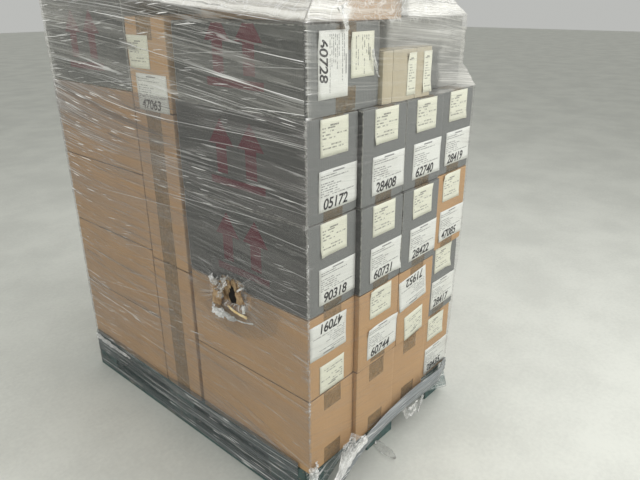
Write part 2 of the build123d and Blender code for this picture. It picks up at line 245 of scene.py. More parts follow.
def crest(value):
    """Sharp crests from an uneven value: 0.5 where it passes 0, and lower away from there."""
    return 0.5 - abs(value)


def turned(across, up, angle):
    """A place on a plane, turned about its middle."""
    return across * math.cos(angle) - up * math.sin(angle), across * math.sin(angle) + up * math.cos(angle)


def above_floor(point):
    """A place, raised if it would be in the floor."""
    return Vector((point.x, point.y, max(point.z, FLOOR_Z + 0.001)))


def inside(outline, a, b):
    """Whether a point is inside an outline of corner points."""
    found = False
    for index, (a2, b2) in enumerate(outline):
        a1, b1 = outline[index - 1]
        if (b1 > b) != (b2 > b) and a < a1 + (a2 - a1) * (b - b1) / (b2 - b1):
            found = not found
    return found


class Case:
    """Where one carton stands, how it is turned, and how its faces swell and dent.

    Its own axes are across the seam, along the seam, and up through the taped faces."""

    TURNS = {"upright": (0, 1, 2), "turned": (1, 0, 2), "on_end": (1, 2, 0)}

    def __init__(self, low, high, turn, seed, free):
        self.low, self.high, self.free = low, high, free
        self.axes = self.TURNS[turn]
        self.size = [high[axis] - low[axis] for axis in self.axes]
        self.seed = Vector((seed * 3.17, seed * 1.31, seed * 2.03))
        draw = random.Random(seed)
        self.crush = [draw.uniform(0.0, 0.0025) for _ in range(8)]

    def to_world(self, local):
        """A point on the carton's own axes, moved to where it is in the load."""
        point = self.low.copy()
        for axis, value in zip(self.axes, local):
            point[axis] += value
        return point

    def swell(self, point, amount):
        """Where a point on or near the flat carton goes when its faces swell and its corners are crushed."""
        share = [(point[axis] - self.low[axis]) / (self.high[axis] - self.low[axis]) for axis in range(3)]
        crown = [max(0.0, 1 - (2 * value - 1) ** 2) for value in share]
        moved = point.copy()
        ripple = noise.noise(point * 9 + self.seed) * 0.0007
        for axis in range(3):
            side = 0 if share[axis] < 0.5 else 1
            other, another = [value for value in range(3) if value != axis]
            field = crown[other] * crown[another]
            out = amount if self.free[axis][side] else -0.0003
            reach = 2 * share[axis] - 1
            moved[axis] += reach * (field * out + field ** 0.25 * (ripple if self.free[axis][side] else 0.0))
        corner = sum(1 << axis for axis in range(3) if share[axis] > 0.5)
        walls = [abs(share[a] - round(share[a])) * (self.high[a] - self.low[a]) for a in range(3)]
        if max(walls) < CRUSH_REACH and min(walls) < 0.004:
            inwards = ((self.low + self.high) / 2 - point).normalized()
            moved += inwards * self.crush[corner] * (1 - max(walls) / CRUSH_REACH)
        return moved


def free_sides(low, high):
    """For each axis, whether the lower and the higher face look out of the load."""
    return (
        (low.x < LEFT + OUTSIDE, high.x > RIGHT - OUTSIDE),
        (low.y < FRONT + OUTSIDE, high.y > BACK - OUTSIDE),
        (False, low.z > UPPER_Z),
    )


def make_cases():
    """Every closed carton, by node. A node that holds a row of cartons has several."""
    cases, seed = {}, 1
    for node in sorted(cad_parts):
        if not node.startswith("carton"):
            continue
        turn = "upright"
        if node.startswith("carton_middle_tier"):
            turn = "on_end"
        elif node.startswith("carton_middle_top") or node == "carton_top_turned":
            turn = "turned"
        solids = sorted((span(points) for points in islands(node)), key=lambda box: box[0].x)
        cases[node] = []
        for low, high in solids:
            cases[node].append(Case(low, high, turn, seed, free_sides(low, high)))
            seed += 1
    return cases


CASES = make_cases()
PROUDEST = min(case.low.y for cases in CASES.values() for case in cases)
LAST_COLUMN = [CASES[f"carton_near_layer{layer}_col{COLUMNS}"][0].low.y for layer in range(1, LAYERS + 1)]
GREY_FRONT = {2: (4,), 3: (1, 2, 3), 4: (1, 2, 3, 4)}
GREY_NODES = ("carton_top_lying", "carton_top_turned", "carton_far_layer5_left", "cartons_far_layer5")


def board_of(node):
    """Which board a carton is made of."""
    if node.startswith("carton_small"):
        return "beige"
    if node.startswith("carton_near_layer"):
        layer, column = int(node[len("carton_near_layer")]), int(node[-1])
        return "grey" if column in GREY_FRONT.get(layer, ()) else "brown"
    return "grey" if node in GREY_NODES else "brown"


class Tree:
    """Short calls that lay out a node tree and return sockets."""

    def __init__(self, tree):
        self.tree = tree
        self.count = 0

    def add(self, kind, **values):
        node = self.tree.nodes.new(kind)
        node.location = (self.count % 12 * 180, -(self.count // 12) * 260)
        self.count += 1
        for name, value in values.items():
            setattr(node, name, value)
        return node

    def put(self, socket, value):
        """Give an input a fixed value or a link."""
        if isinstance(value, bpy.types.NodeSocket):
            self.tree.links.new(value, socket)
        else:
            socket.default_value = value

    def fill(self, sockets, **values):
        """Give several inputs their values by name, with an underscore for a space."""
        for name, value in values.items():
            self.put(sockets[name.replace("_", " ")], value)

    def math(self, operation, *values):
        node = self.add("ShaderNodeMath", operation=operation)
        for socket, value in zip(node.inputs, values):
            self.put(socket, value)
        return node.outputs[0]

    def every(self, operation, first, *others):
        """One operation carried through several values."""
        for value in others:
            first = self.math(operation, first, value)
        return first

    def times(self, *values):
        return self.every("MULTIPLY", *values)

    def plus(self, *values):
        return self.every("ADD", *values)

    def most(self, *values):
        return self.every("MAXIMUM", *values)

    def minus(self, value, taken):
        return self.math("SUBTRACT", value, taken)

    def above(self, value, limit):
        return self.math("GREATER_THAN", value, limit)

    def below(self, value, limit):
        return self.math("LESS_THAN", value, limit)

    def scaled(self, value, factor, added):
        return self.math("MULTIPLY_ADD", value, factor, added)

    def centred(self, value, amount):
        """A value between 0 and 1, moved to lie about 0 and scaled."""
        return self.scaled(value, amount, -0.5 * amount)

    def away(self, value, place):
        """How far a value is from a place."""
        return self.math("ABSOLUTE", self.minus(value, place))

    def off_middle(self, value):
        """How far a value between 0 and 1 is from its middle, at most 1."""
        return self.math("ABSOLUTE", self.scaled(value, 2.0, -1.0))

    def steps(self, value, low, high, out_low=0.0, out_high=1.0):
        """A soft ramp between two values."""
        node = self.add("ShaderNodeMapRange", interpolation_type="SMOOTHSTEP")
        self.fill(node.inputs, Value=value, From_Min=low, From_Max=high, To_Min=out_low, To_Max=out_high)
        return node.outputs[0]

    def chance(self, value):
        """A random value between 0 and 1, one for each whole number."""
        node = self.add("ShaderNodeTexWhiteNoise", noise_dimensions="1D")
        self.fill(node.inputs, W=value)
        return node.outputs["Value"]

    def mapped(self, vector, scale=(1, 1, 1), turn=(0, 0, 0), shift=(0, 0, 0)):
        node = self.add("ShaderNodeMapping")
        self.fill(node.inputs, Vector=vector, Scale=scale, Rotation=turn, Location=shift)
        return node.outputs[0]

    def noise(self, vector, scale, detail=2.0, roughness=0.5, distortion=0.0):
        node = self.add("ShaderNodeTexNoise")
        self.fill(node.inputs, Vector=vector, Scale=scale, Detail=detail, Roughness=roughness,
                  Distortion=distortion)
        return node.outputs["Fac"]

    def blend(self, share, first, second):
        """The first colour where the share is 0, and the second where it is 1."""
        node = self.add("ShaderNodeMix", data_type="RGBA")
        self.put(node.inputs["Factor"], share)
        self.put(node.inputs[6], first)
        self.put(node.inputs[7], second)
        return node.outputs[2]

    def parts(self, vector):
        node = self.add("ShaderNodeSeparateXYZ")
        self.put(node.inputs[0], vector)
        return node.outputs

    def joined(self, x, y, z=0.0):
        node = self.add("ShaderNodeCombineXYZ")
        for socket, value in zip(node.inputs, (x, y, z)):
            self.put(socket, value)
        return node.outputs[0]

    def bump(self, height, distance, strength=1.0):
        node = self.add("ShaderNodeBump")
        self.fill(node.inputs, Height=height, Distance=distance, Strength=strength)
        return node.outputs[0]

    def coords(self, name="Object"):
        return self.add("ShaderNodeTexCoord").outputs[name]

    def attribute(self, name):
        return self.add("ShaderNodeAttribute", attribute_name=name).outputs["Fac"]


def new_group(name, inputs, outputs):
    """An empty shader group with named sockets. Returns its tree, its values and the sockets to fill."""
    group = bpy.data.node_groups.new(name, "ShaderNodeTree")
    for label, kind, value in inputs:
        socket = group.interface.new_socket(label, in_out="INPUT", socket_type="NodeSocket" + kind)
        if value is not None:
            socket.default_value = value
    for label, kind in outputs:
        group.interface.new_socket(label, in_out="OUTPUT", socket_type="NodeSocket" + kind)
    tree = Tree(group)
    return tree, tree.add("NodeGroupInput").outputs, tree.add("NodeGroupOutput").inputs


def board_group():
    """Corrugated board: fibre, faint flutes, scuffs, pale worn folds and painted shade where cartons meet."""
    tree, entry, leave = new_group(
        "corrugated_board",
        [("Color", "Color", (0.5, 0.5, 0.5, 1)), ("Worn Color", "Color", (0.6, 0.5, 0.4, 1)),
         ("Wear", "Float", 1.0), ("Mottle", "Float", 0.5)],
        [("Color", "Color"), ("Roughness", "Float"), ("Height", "Float")],
    )
    place = tree.coords()
    fibre = tree.noise(tree.mapped(place, (1, 1, 2.2)), 420, 3, 0.7)
    cloud = tree.noise(place, 7, 4, 0.6)
    patch = tree.noise(place, 2.1, 2, 0.5)
    along = tree.parts(tree.coords("UV"))[0]
    wave = tree.math("SINE", tree.times(along, 2 * math.pi / FLUTE))
    flutes = tree.times(wave, tree.steps(cloud, 0.35, 0.65))
    shade = tree.times(tree.plus(tree.centred(cloud, 0.42), tree.centred(patch, 0.38)), entry["Mottle"])
    value = tree.add("ShaderNodeHueSaturation")
    tree.fill(value.inputs, Color=entry["Color"],
              Value=tree.plus(shade, tree.centred(fibre, 0.10), tree.times(flutes, 0.012), 1.0))
    edge = tree.plus(tree.attribute("edge"), tree.centred(tree.noise(place, 90, 4, 0.7), 0.010))
    worn = tree.times(tree.steps(edge, 0.0042, 0.0004), entry["Wear"])
    scratch = tree.noise(tree.mapped(place, (1, 1, 6), (0.4, 0.3, 0.9)), 46, 3, 0.6)
    scuff = tree.times(tree.steps(scratch, 0.70, 0.78), tree.steps(cloud, 0.52, 0.62), 0.35)
    colour = tree.blend(tree.times(tree.most(worn, scuff), 0.75), value.outputs[0], entry["Worn Color"])
    # Painted shade: near the top and bottom edges, where cartons meet, the board is darkened to stand in for
    # the shadow in the gap between them.
    seam_shade = tree.steps(tree.attribute("seam"), 0.10, 0.55, 0.0, 0.85)
    colour = tree.blend(seam_shade, colour, (0.022, 0.018, 0.014, 1))
    dent = tree.attribute("dent")
    shred = tree.noise(tree.mapped(place, (1, 1, 0.4), (0.5, 0, 0)), 95, 3, 0.7)
    raw = tree.blend(tree.steps(shred, 0.38, 0.62), (0.16, 0.095, 0.050, 1), (0.52, 0.37, 0.21, 1))
    colour = tree.blend(tree.steps(dent, 0.34, 0.58), colour, raw)
    # Deepest in the tear the board is painted near black: painted shadow inside the slit.
    colour = tree.blend(tree.steps(dent, 0.74, 0.86), colour, (0.010, 0.008, 0.007, 1))
    tree.fill(leave, Color=colour, Roughness=tree.scaled(fibre, 0.16, 0.66),
              Height=tree.plus(tree.times(fibre, 0.5), tree.times(flutes, 0.6), tree.times(cloud, 1.6)))
    return tree.tree


def arrows_group():
    """A plain this-side-up mark, two fat arrows on a bar, drawn on a face's own metres."""
    tree, entry, leave = new_group(
        "upright_arrows", [("Vector", "Vector", None), ("Middle", "Float", 0.25), ("Foot", "Float", 0.05)],
        [("Mask", "Float")],
    )
    u, v, _ = tree.parts(entry["Vector"])
    up = tree.minus(v, entry["Foot"])
    aside = tree.away(u, entry["Middle"])
    off_arrow = tree.away(aside, 0.058)
    shaft = tree.times(tree.below(off_arrow, 0.021), tree.above(up, 0.034), tree.below(up, 0.120))
    head = tree.times(tree.below(tree.scaled(up, 0.72, off_arrow), 0.131), tree.above(up, 0.112))
    bar = tree.times(tree.below(aside, 0.108), tree.above(up, 0.0), tree.below(up, 0.022))
    ink = tree.noise(entry["Vector"], 260, 3, 0.6)
    tree.fill(leave, Mask=tree.times(tree.most(shaft, head, bar), tree.steps(ink, 0.22, 0.42, 0.80, 0.97)))
    return tree.tree


def print_group():
    """Rows of small print too small to read, each of its own length, under a heavier heading."""
    tree, entry, leave = new_group(
        "small_print",
        [("Vector", "Vector", None), ("Row", "Float", 0.006), ("Bottom", "Float", 0.03),
         ("Top", "Float", 0.1), ("Side", "Float", 0.008), ("Width", "Float", 0.15), ("Fill", "Float", 0.5)],
        [("Mask", "Float")],
    )
    u, v, _ = tree.parts(entry["Vector"])
    row = tree.math("DIVIDE", v, entry["Row"])
    line = tree.math("FLOOR", row)
    across = tree.math("FRACT", row)
    draw = tree.chance(line)
    stroke = tree.times(tree.steps(across, 0.20, 0.32), tree.steps(across, 0.74, 0.60))
    letters = tree.noise(tree.joined(tree.times(u, 420), tree.times(line, 7.31), 0.5), 1.0, 1.0)
    words = tree.noise(tree.joined(tree.times(u, 62), tree.times(line, 3.17), 4.5), 1.0, 1.0)
    ink = tree.times(tree.steps(letters, 0.36, 0.50),
                     tree.steps(words, tree.minus(entry["Fill"], 0.04), entry["Fill"]))
    length = tree.times(tree.scaled(tree.times(draw, draw), 0.75, 0.22), entry["Width"])
    from_side = tree.minus(u, entry["Side"])
    kept = tree.times(
        tree.above(v, entry["Bottom"]), tree.below(v, entry["Top"]), tree.above(from_side, 0.0),
        tree.below(from_side, length), tree.above(draw, 0.14),
    )
    over = tree.minus(v, entry["Top"])
    off_middle = tree.away(u, tree.times(entry["Width"], 0.5))
    heading = tree.times(
        tree.above(over, -0.001), tree.below(over, 0.0032),
        tree.below(off_middle, tree.times(entry["Width"], 0.15)), tree.steps(letters, 0.30, 0.42),
    )
    tree.fill(leave, Mask=tree.most(tree.times(stroke, ink, kept), heading))
    return tree.tree


def film_group():
    """Stretch film: long creases along the wrap painted bright as highlight and dark as shade, short painted
    glints that glow, crumples and milky haze.
    """
    tree, entry, leave = new_group(
        "stretch_film",
        [("Pull", "Float", 1.0), ("Milk", "Float", 0.1), ("Crumple", "Float", 0.0), ("Slope", "Float", 0.12),
         ("Drift", "Float", 0.10), ("Tint", "Color", (0.6, 0.6, 0.6, 1))],
        [("Color", "Color"), ("Alpha", "Float"), ("Roughness", "Float"), ("Height", "Float"),
         ("Glint", "Color"), ("Shine", "Float")],
    )
    uv = tree.coords("UV")
    u, v, _ = tree.parts(uv)
    drift = tree.minus(tree.noise(tree.mapped(uv, (0.7, 1.4, 1)), 1.0, 1), 0.5)
    level = tree.scaled(drift, entry["Drift"], tree.scaled(u, entry["Slope"], v))

    # Low on the wrap a second run of creases climbs to the near corner. Higher up it lies along the first.
    along_side = tree.math("SINE", tree.scaled(u, math.pi / 2, -1.7 * math.pi))
    climb = tree.times(along_side, tree.steps(v, 0.50, 0.85, -1.3, -0.2))
    leaning = tree.scaled(climb, entry["Drift"], level)

    def field(along, across, shift, detail=1.0, height=level):
        """Uneven values, drawn out along the film."""
        place = tree.joined(tree.times(u, along), tree.times(height, across), shift)
        return tree.noise(place, 1.0, detail, 0.5)

    def line(along, across, shift, width):
        """Creases, where such values pass their middle."""
        return tree.steps(tree.off_middle(field(along, across, shift)), width, width * 0.2)

    def strands(count, shift, height, half):
        """Long fine creases, one to a row of the map, each with its own height, length and brightness."""
        rows = tree.times(height, count)
        row = tree.math("FLOOR", rows)
        draw = tree.chance(tree.plus(row, shift))
        off = tree.away(tree.math("FRACT", rows), tree.scaled(draw, 0.6, 0.2))
        length = tree.noise(tree.joined(tree.times(u, 1.7), tree.times(row, 5.3), shift), 1.0, 1)
        return tree.times(tree.steps(off, half * count, half * count * 0.25), tree.steps(length, 0.50, 0.62),
                          tree.steps(draw, 0.1, 0.9, 0.35, 1.0))

    def crumple(scale, shift, width):
        """Crumples in space, and the bright lines along their folds."""
        fold = tree.noise(tree.mapped(tree.coords(), shift=(shift, 0, 0)), scale, 2, 0.55, 0.9)
        return fold, tree.steps(tree.off_middle(fold), width, width * 0.15)

    patch = tree.steps(tree.noise(tree.mapped(uv, (1.9, 6.0, 1), shift=(4, 7, 0)), 1.0, 2), 0.34, 0.60)
    long_lines = tree.times(line(0.42, 14, 3.0, 0.019), tree.steps(field(3.4, 40, 7.0), 0.38, 0.64))
    second = tree.times(line(0.8, 33, 9.0, 0.032), tree.steps(field(5.0, 60, 13.0), 0.46, 0.66))
    dark = tree.times(line(0.6, 24, 21.0, 0.05), tree.steps(field(2.6, 30, 25.0), 0.40, 0.62))
    dashes = tree.steps(field(9.0, 210, 17.0, height=leaning), 0.665, 0.72)
    hair = tree.steps(field(3.0, 230, 31.0), 0.42, 0.74)
    broad = tree.steps(field(1.2, 17, 23.0, 2.0), 0.36, 0.70)
    creases = tree.most(
        tree.times(long_lines, 0.72),
        tree.times(second, 0.44),
        tree.times(strands(26, 2.0, level, 0.0015), 0.96),
        tree.times(strands(28, 11.0, leaning, 0.0013), 0.92),
        tree.times(line(1.1, 74, 15.0, 0.06), patch, 0.34),
        tree.times(dashes, patch, 0.95),
    )
    large, large_line = crumple(15, 0.0, 0.05)
    small, small_line = crumple(42, 5.0, 0.07)
    folds = tree.most(large_line, tree.times(small_line, 0.7))
    bright = tree.most(tree.times(creases, entry["Pull"]), tree.times(folds, entry["Crumple"]))
    cloud = tree.times(large, entry["Crumple"], 0.9)
    haze = tree.plus(tree.times(broad, 0.66), tree.times(hair, 0.46), cloud, 0.45)
    milk = tree.math("MINIMUM", tree.times(haze, entry["Milk"]), 0.96)
    # The dark creases are painted nearly black: painted shade in them.
    shade = tree.times(dark, 0.55, entry["Pull"])
    clear = tree.times(tree.minus(1.0, milk), tree.minus(1.0, shade), tree.minus(1.0, bright))
    colour = tree.blend(shade, entry["Tint"], (0.045, 0.045, 0.05, 1))
    # Bright creases and crumple folds are painted near white: painted highlight along them.
    colour = tree.blend(tree.steps(bright, 0.0, 0.55), colour, (0.94, 0.94, 0.92, 1))
    # Painted glint: the brightest creases get an emission colour, so they glow a little.
    painted_glint = tree.blend(tree.steps(bright, 0.30, 0.90), (0, 0, 0, 1), (1.0, 0.98, 0.94, 1))
    swells = tree.times(field(1.7, 34, 9.0), 2.5)
    relief = tree.plus(tree.times(long_lines, 1.2), swells, tree.times(broad, 1.2))
    bulk = tree.plus(tree.times(large, 6.0), tree.times(small, 2.5))
    tree.fill(
        leave, Color=colour, Glint=painted_glint, Shine=tree.steps(bright, 0.35, 0.90, 0.0, 0.70),
        Alpha=tree.math("MINIMUM", tree.minus(1.0, clear), 0.97),
        Roughness=tree.steps(hair, 0.0, 1.0, 0.22, 0.38),
        Height=tree.plus(tree.times(relief, entry["Pull"]), tree.times(bulk, entry["Crumple"])),
    )
    return tree.tree


def paint_group():
    """Old paint on sawn wood: grain, dirt in the grain, and bare wood at rubbed places."""
    tree, entry, leave = new_group(
        "worn_paint", [("Paint", "Color", (0.1, 0.2, 0.2, 1)), ("Wood", "Color", (0.3, 0.3, 0.2, 1)),
                       ("Grain", "Vector", None)],
        [("Color", "Color"), ("Roughness", "Float"), ("Height", "Float")],
    )
    grain = tree.noise(entry["Grain"], 1.0, 5, 0.65)
    cloud = tree.noise(tree.coords(), 9, 4, 0.6)
    fleck = tree.noise(tree.coords(), 120, 3, 0.7)
    rubbed = tree.steps(tree.scaled(cloud, 0.7, grain), 0.92, 1.06, 0.0, 0.8)
    colour = tree.blend(tree.steps(grain, 0.3, 0.75, 0.0, 0.55), entry["Paint"], (0.02, 0.028, 0.027, 1))
    colour = tree.blend(rubbed, colour, entry["Wood"])
    colour = tree.blend(tree.steps(fleck, 0.64, 0.75, 0.0, 0.45), colour, (0.30, 0.31, 0.29, 1))
    tree.fill(leave, Color=colour, Roughness=tree.scaled(grain, 0.3, 0.55),
              Height=tree.scaled(fleck, 0.25, grain))
    return tree.tree


GROUPS = {}


def group_node(tree, builder, **values):
    """A shader group in a material, built the first time it is asked for."""
    if builder not in GROUPS:
        GROUPS[builder] = builder()
    node = tree.add("ShaderNodeGroup")
    node.node_tree = GROUPS[builder]
    tree.fill(node.inputs, **values)
    return node.outputs


def new_material(name):
    """A node material. Returns it, its tree and the inputs of its Principled shader."""
    material = bpy.data.materials.new(name)
    material.use_nodes = True
    return material, Tree(material.node_tree), material.node_tree.nodes["Principled BSDF"].inputs


def board_material(name, colour, worn, mark=None, wear=1.0, mottle=0.5):
    """Board of one colour, with the printed mark where that has a colour."""
    material, tree, shader = new_material(name)
    base = tuple(colour)
    if mark is not None:
        mask = group_node(tree, arrows_group, Vector=tree.coords("UV"))["Mask"]
        base = tree.blend(mask, base, tuple(mark))
    made = group_node(tree, board_group, Color=base, Worn_Color=worn, Wear=wear, Mottle=mottle)
    tree.fill(shader, Base_Color=made["Color"], Roughness=made["Roughness"],
              Normal=tree.bump(made["Height"], 0.0004, 0.6), Specular_IOR_Level=0.35)
    return material


def film_material(name, crumple, slope, tint, drift):
    """Stretch film that is clear between its creases. The creases follow the piece's own map."""
    material, tree, shader = new_material(name)
    made = group_node(
        tree, film_group, Pull=tree.attribute("pull"), Milk=tree.attribute("milk"),
        Crumple=tree.plus(tree.attribute("crumple"), crumple), Slope=slope, Drift=drift,
        Tint=tint or tuple(bpy.context.scene.load_film.tint),
    )
    # The emission along the brightest creases is a painted glint: the film glows a little there.
    tree.fill(
        shader, Base_Color=made["Color"], Alpha=made["Alpha"], Roughness=made["Roughness"],
        Metallic=made["Shine"], Normal=tree.bump(made["Height"], 0.0014, 0.9), Specular_IOR_Level=0.6,
        Emission_Color=made["Glint"], Emission_Strength=0.30,
    )
    return material


def paper_material(name, colour, row, bottom, top, width, fill):
    """Paper with unreadable rows of print."""
    material, tree, shader = new_material(name)
    ink = group_node(tree, print_group, Vector=tree.coords("UV"), Row=row, Bottom=bottom, Top=top,
                     Width=width, Fill=fill)["Mask"]
    fibre = tree.noise(tree.coords(), 300, 3, 0.7)
    stain = tree.noise(tree.coords(), 14, 3, 0.6)
    paper = tree.blend(tree.steps(stain, 0.4, 0.8, 0.0, 0.25), tuple(colour), (0.55, 0.54, 0.46, 1))
    tree.fill(shader, Base_Color=tree.blend(tree.times(ink, 0.72), paper, (0.05, 0.05, 0.055, 1)),
              Roughness=tree.scaled(fibre, 0.2, 0.5), Normal=tree.bump(tree.plus(fibre, stain), 0.0003, 0.5))
    return material


def tape_material():
    """Brown packing tape: thin, shiny and slightly see-through, with trapped air and creases whose fold lines
    are painted dark as shade.
    """
    material, tree, shader = new_material("closing_tape")
    place = tree.coords()
    air = tree.noise(place, 60, 4, 0.6)
    crease = tree.noise(tree.mapped(place, (1, 1, 5), (0.2, 0.5, 0.1)), 38, 3, 0.6, 1.0)
    crinkle = tree.noise(tree.mapped(place, turn=(0.3, 0.2, 0.5)), 34, 3, 0.6, 1.8)
    fold = tree.times(tree.steps(tree.off_middle(crinkle), 0.06, 0.01),
                      tree.steps(tree.noise(place, 9, 2), 0.40, 0.62, 0.15, 0.5))
    colour = tree.blend(tree.steps(air, 0.4, 0.7), (0.230, 0.158, 0.070, 1), (0.32, 0.23, 0.122, 1))
    # Along the fold lines the tape is painted nearly black and made more opaque: painted shade in its
    # creases.
    tree.fill(shader, Base_Color=tree.blend(fold, colour, (0.060, 0.030, 0.014, 1)),
              Alpha=tree.plus(tree.steps(air, 0.3, 0.7, 0.34, 0.48), fold),
              Roughness=tree.steps(crease, 0.3, 0.8, 0.22, 0.48),
              Normal=tree.bump(tree.scaled(air, 0.5, crease), 0.0012))
    return material


def wood_material(name, along):
    """Painted pallet wood with its grain along one axis."""
    material, tree, shader = new_material(name)
    settings = bpy.context.scene.load_pallet
    scale = [70.0, 70.0, 70.0]
    scale[along] = 4.0
    made = group_node(tree, paint_group, Paint=tuple(settings.paint), Wood=tuple(settings.wood),
                      Grain=tree.mapped(tree.coords(), scale))
    tree.fill(shader, Base_Color=made["Color"], Roughness=made["Roughness"],
              Normal=tree.bump(made["Height"], 0.0010, 0.8))
    return material


def torn_material(name, dark, light):
    """The raw, fibrous inside of torn board."""
    material, tree, shader = new_material(name)
    fibre = tree.noise(tree.mapped(tree.coords(), (1, 1, 3)), 160, 4, 0.7)
    cloud = tree.noise(tree.coords(), 40, 3, 0.6)
    colour = tree.blend(tree.steps(cloud, 0.3, 0.7), dark, light)
    colour = tree.blend(tree.steps(fibre, 0.60, 0.78), colour, (0.86, 0.74, 0.55, 1))
    tree.fill(shader, Base_Color=colour, Roughness=tree.steps(fibre, 0.2, 0.8, 0.6, 0.85),
              Normal=tree.bump(tree.plus(fibre, cloud), 0.0015))
    return material


def inner_material():
    """The back of the film's thickness, which adds almost nothing to the look of its front."""
    material, tree, shader = new_material("film_inner")
    tree.fill(shader, Base_Color=tuple(bpy.context.scene.load_film.tint), Roughness=0.3,
              Alpha=tree.steps(tree.noise(tree.coords("UV"), 5, 2), 0.3, 0.7, 0.01, 0.03))
    return material


def ink_material():
    """Black printed digits, a little uneven."""
    material, tree, shader = new_material("printed_ink")
    spot = tree.noise(tree.coords(), 400, 3, 0.7)
    colour = tree.blend(tree.steps(spot, 0.5, 0.8), (0.012, 0.012, 0.014, 1), (0.06, 0.06, 0.065, 1))
    tree.fill(shader, Base_Color=colour, Roughness=tree.steps(spot, 0.3, 0.7, 0.45, 0.6))
    return material


# Each film finish: its name, how crumpled it is, the creases' slope, its own colour, and the creases' drift.
FILMS = {
    "wrap": ("film_wrap", 0.0, 0.13, None, 0.10),
    "top": ("film_top", 0.04, 0.10, (0.85, 0.835, 0.775, 1), 0.10),
    # The skirt's dark grey tint is painted shade: it stands in for the shaded pallet side behind the clear
    # film.
    "skirt": ("film_skirt", 0.05, 0.0, (0.128, 0.143, 0.150, 1), 0.0),
    "band": ("film_band", 0.05, 0.0, (0.235, 0.255, 0.265, 1), 0.0),
    "web": ("film_web", 0.25, 0.0, (0.085, 0.140, 0.135, 1), 0.02),
    "bunched": ("film_bunched", 0.68, 0.0, (0.84, 0.84, 0.82, 1), 0.10),
    "loose": ("film_loose", 0.0, 0.0, None, 0.10),
    "around_tear": ("film_around_tear", 0.10, 0.0, (0.30, 0.30, 0.30, 1), 0.0),
    "tear_film": ("film_at_tear", 0.62, 0.0, (0.93, 0.93, 0.90, 1), 0.10),
}

# Each label finish: its name, its paper, then the print's row height, foot, top, width and share of ink.
PAPERS = {
    "address": ("address_paper", "paper", 0.0064, 0.040, 0.098, 0.152, 0.42),
    "item": ("item_paper", "aged", 0.0082, 0.016, 0.074, 0.106, 0.50),
    "strip": ("strip_paper", "aged", 0.0070, 0.012, 0.096, 0.044, 0.48),
}

# Each wood finish and the axis of its grain.
WOODS = {"wood_along": ("painted_wood_along", 1), "wood_across": ("painted_wood_across", 0),
         "wood_upright": ("painted_wood_upright", 2)}

# Torn board: its dark and its light colour.
TORN = {
    "torn": ("torn_board", (0.32, 0.20, 0.105, 1), (0.60, 0.43, 0.25, 1)),
    "raw_edge": ("torn_board_edge", (0.85, 0.56, 0.20, 1), (1.0, 0.90, 0.62, 1)),
}
PLAIN = {"tape": tape_material, "inner": inner_material, "ink": ink_material}


def make_material(name):
    """One finish by its short name."""
    board = bpy.context.scene.load_board
    if name in FILMS:
        return film_material(*FILMS[name])
    if name in PAPERS:
        title, paper, *sizes = PAPERS[name]
        return paper_material(title, getattr(bpy.context.scene.load_labels, paper), *sizes)
    if name in WOODS:
        return wood_material(*WOODS[name])
    if name in TORN:
        return torn_material(*TORN[name])
    if name == "brown":
        return board_material("brown_board", board.brown, (0.58, 0.41, 0.25, 1), wear=0.5)
    if name == "grey":
        return board_material("grey_board", board.grey, (0.40, 0.40, 0.37, 1), wear=0.5, mottle=0.35)
    # The pale folds of the grey long sides are partly wear and partly a painted highlight along the folds.
    if name == "marked":
        # The long sides take the darker grey, which is painted shade, with the printed mark on it.
        return board_material("grey_board_marked", board.shaded_grey_side, (0.62, 0.62, 0.56, 1), board.mark,
                              wear=0.9, mottle=0.35)
    if name == "beige":
        return board_material("beige_board", board.beige, (0.62, 0.56, 0.42, 1), wear=0.6)
    return PLAIN[name]()


MATERIALS = {}


def material_of(name):
    """Each finish, made the first time that it is asked for."""
    if name not in MATERIALS:
        MATERIALS[name] = make_material(name)
    return MATERIALS[name]


def to_data(name, mesh):
    """Blender's mesh from a finished bmesh."""
    data = bpy.data.meshes.new(name)
    mesh.to_mesh(data)
    mesh.free()
    return data


def new_object(name, data):
    """An object in the scene, at the origin."""
    made = bpy.data.objects.new(name, data)
    bpy.context.scene.collection.objects.link(made)
    return made


def curve_mesh(curve):
    """The mesh of a curve or of writing."""
    holder = new_object("holder", curve)
    bpy.context.view_layer.update()
    data = bpy.data.meshes.new_from_object(holder.evaluated_get(bpy.context.evaluated_depsgraph_get()))
    bpy.data.objects.remove(holder)
    return data


def new_piece(name, mesh, materials, slot, *nodes):
    """Turn a finished bmesh into a piece that rides on the load and stands for some nodes."""
    piece = new_object(name, to_data(name, mesh))
    for material in materials:
        piece.data.materials.append(material_of(material))
    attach(piece, "root")
    if nodes:
        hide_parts(*nodes)
    return piece


def shade_smooth(piece, angle=None):
    """Smooth shading, with faces sharper than an angle kept apart."""
    piece.data.polygons.foreach_set("use_smooth", [True] * len(piece.data.polygons))
    if angle is not None:
        piece.data.set_sharp_from_angle(angle=math.radians(angle))


def solidify(piece, name, thickness, offset=-1):
    """Give a sheet its thickness. Returns the modifier."""
    wall = piece.modifiers.new(name, "SOLIDIFY")
    wall.thickness = thickness
    wall.offset = offset
    return wall


def film_layers(mesh):
    """The film's map and the three values that its finish reads. Those that are missing are added first."""
    values = mesh.verts.layers.float
    for name in ("pull", "milk", "crumple"):
        if values.get(name) is None:
            values.new(name)
    return mesh.loops.layers.uv.verify(), values["pull"], values["milk"], values["crumple"]


def lay_map(vert, uv_layer, u, v):
    """Put one vertex at a place on the map, in all its faces."""
    for loop in vert.link_loops:
        loop[uv_layer].uv = (u, v)


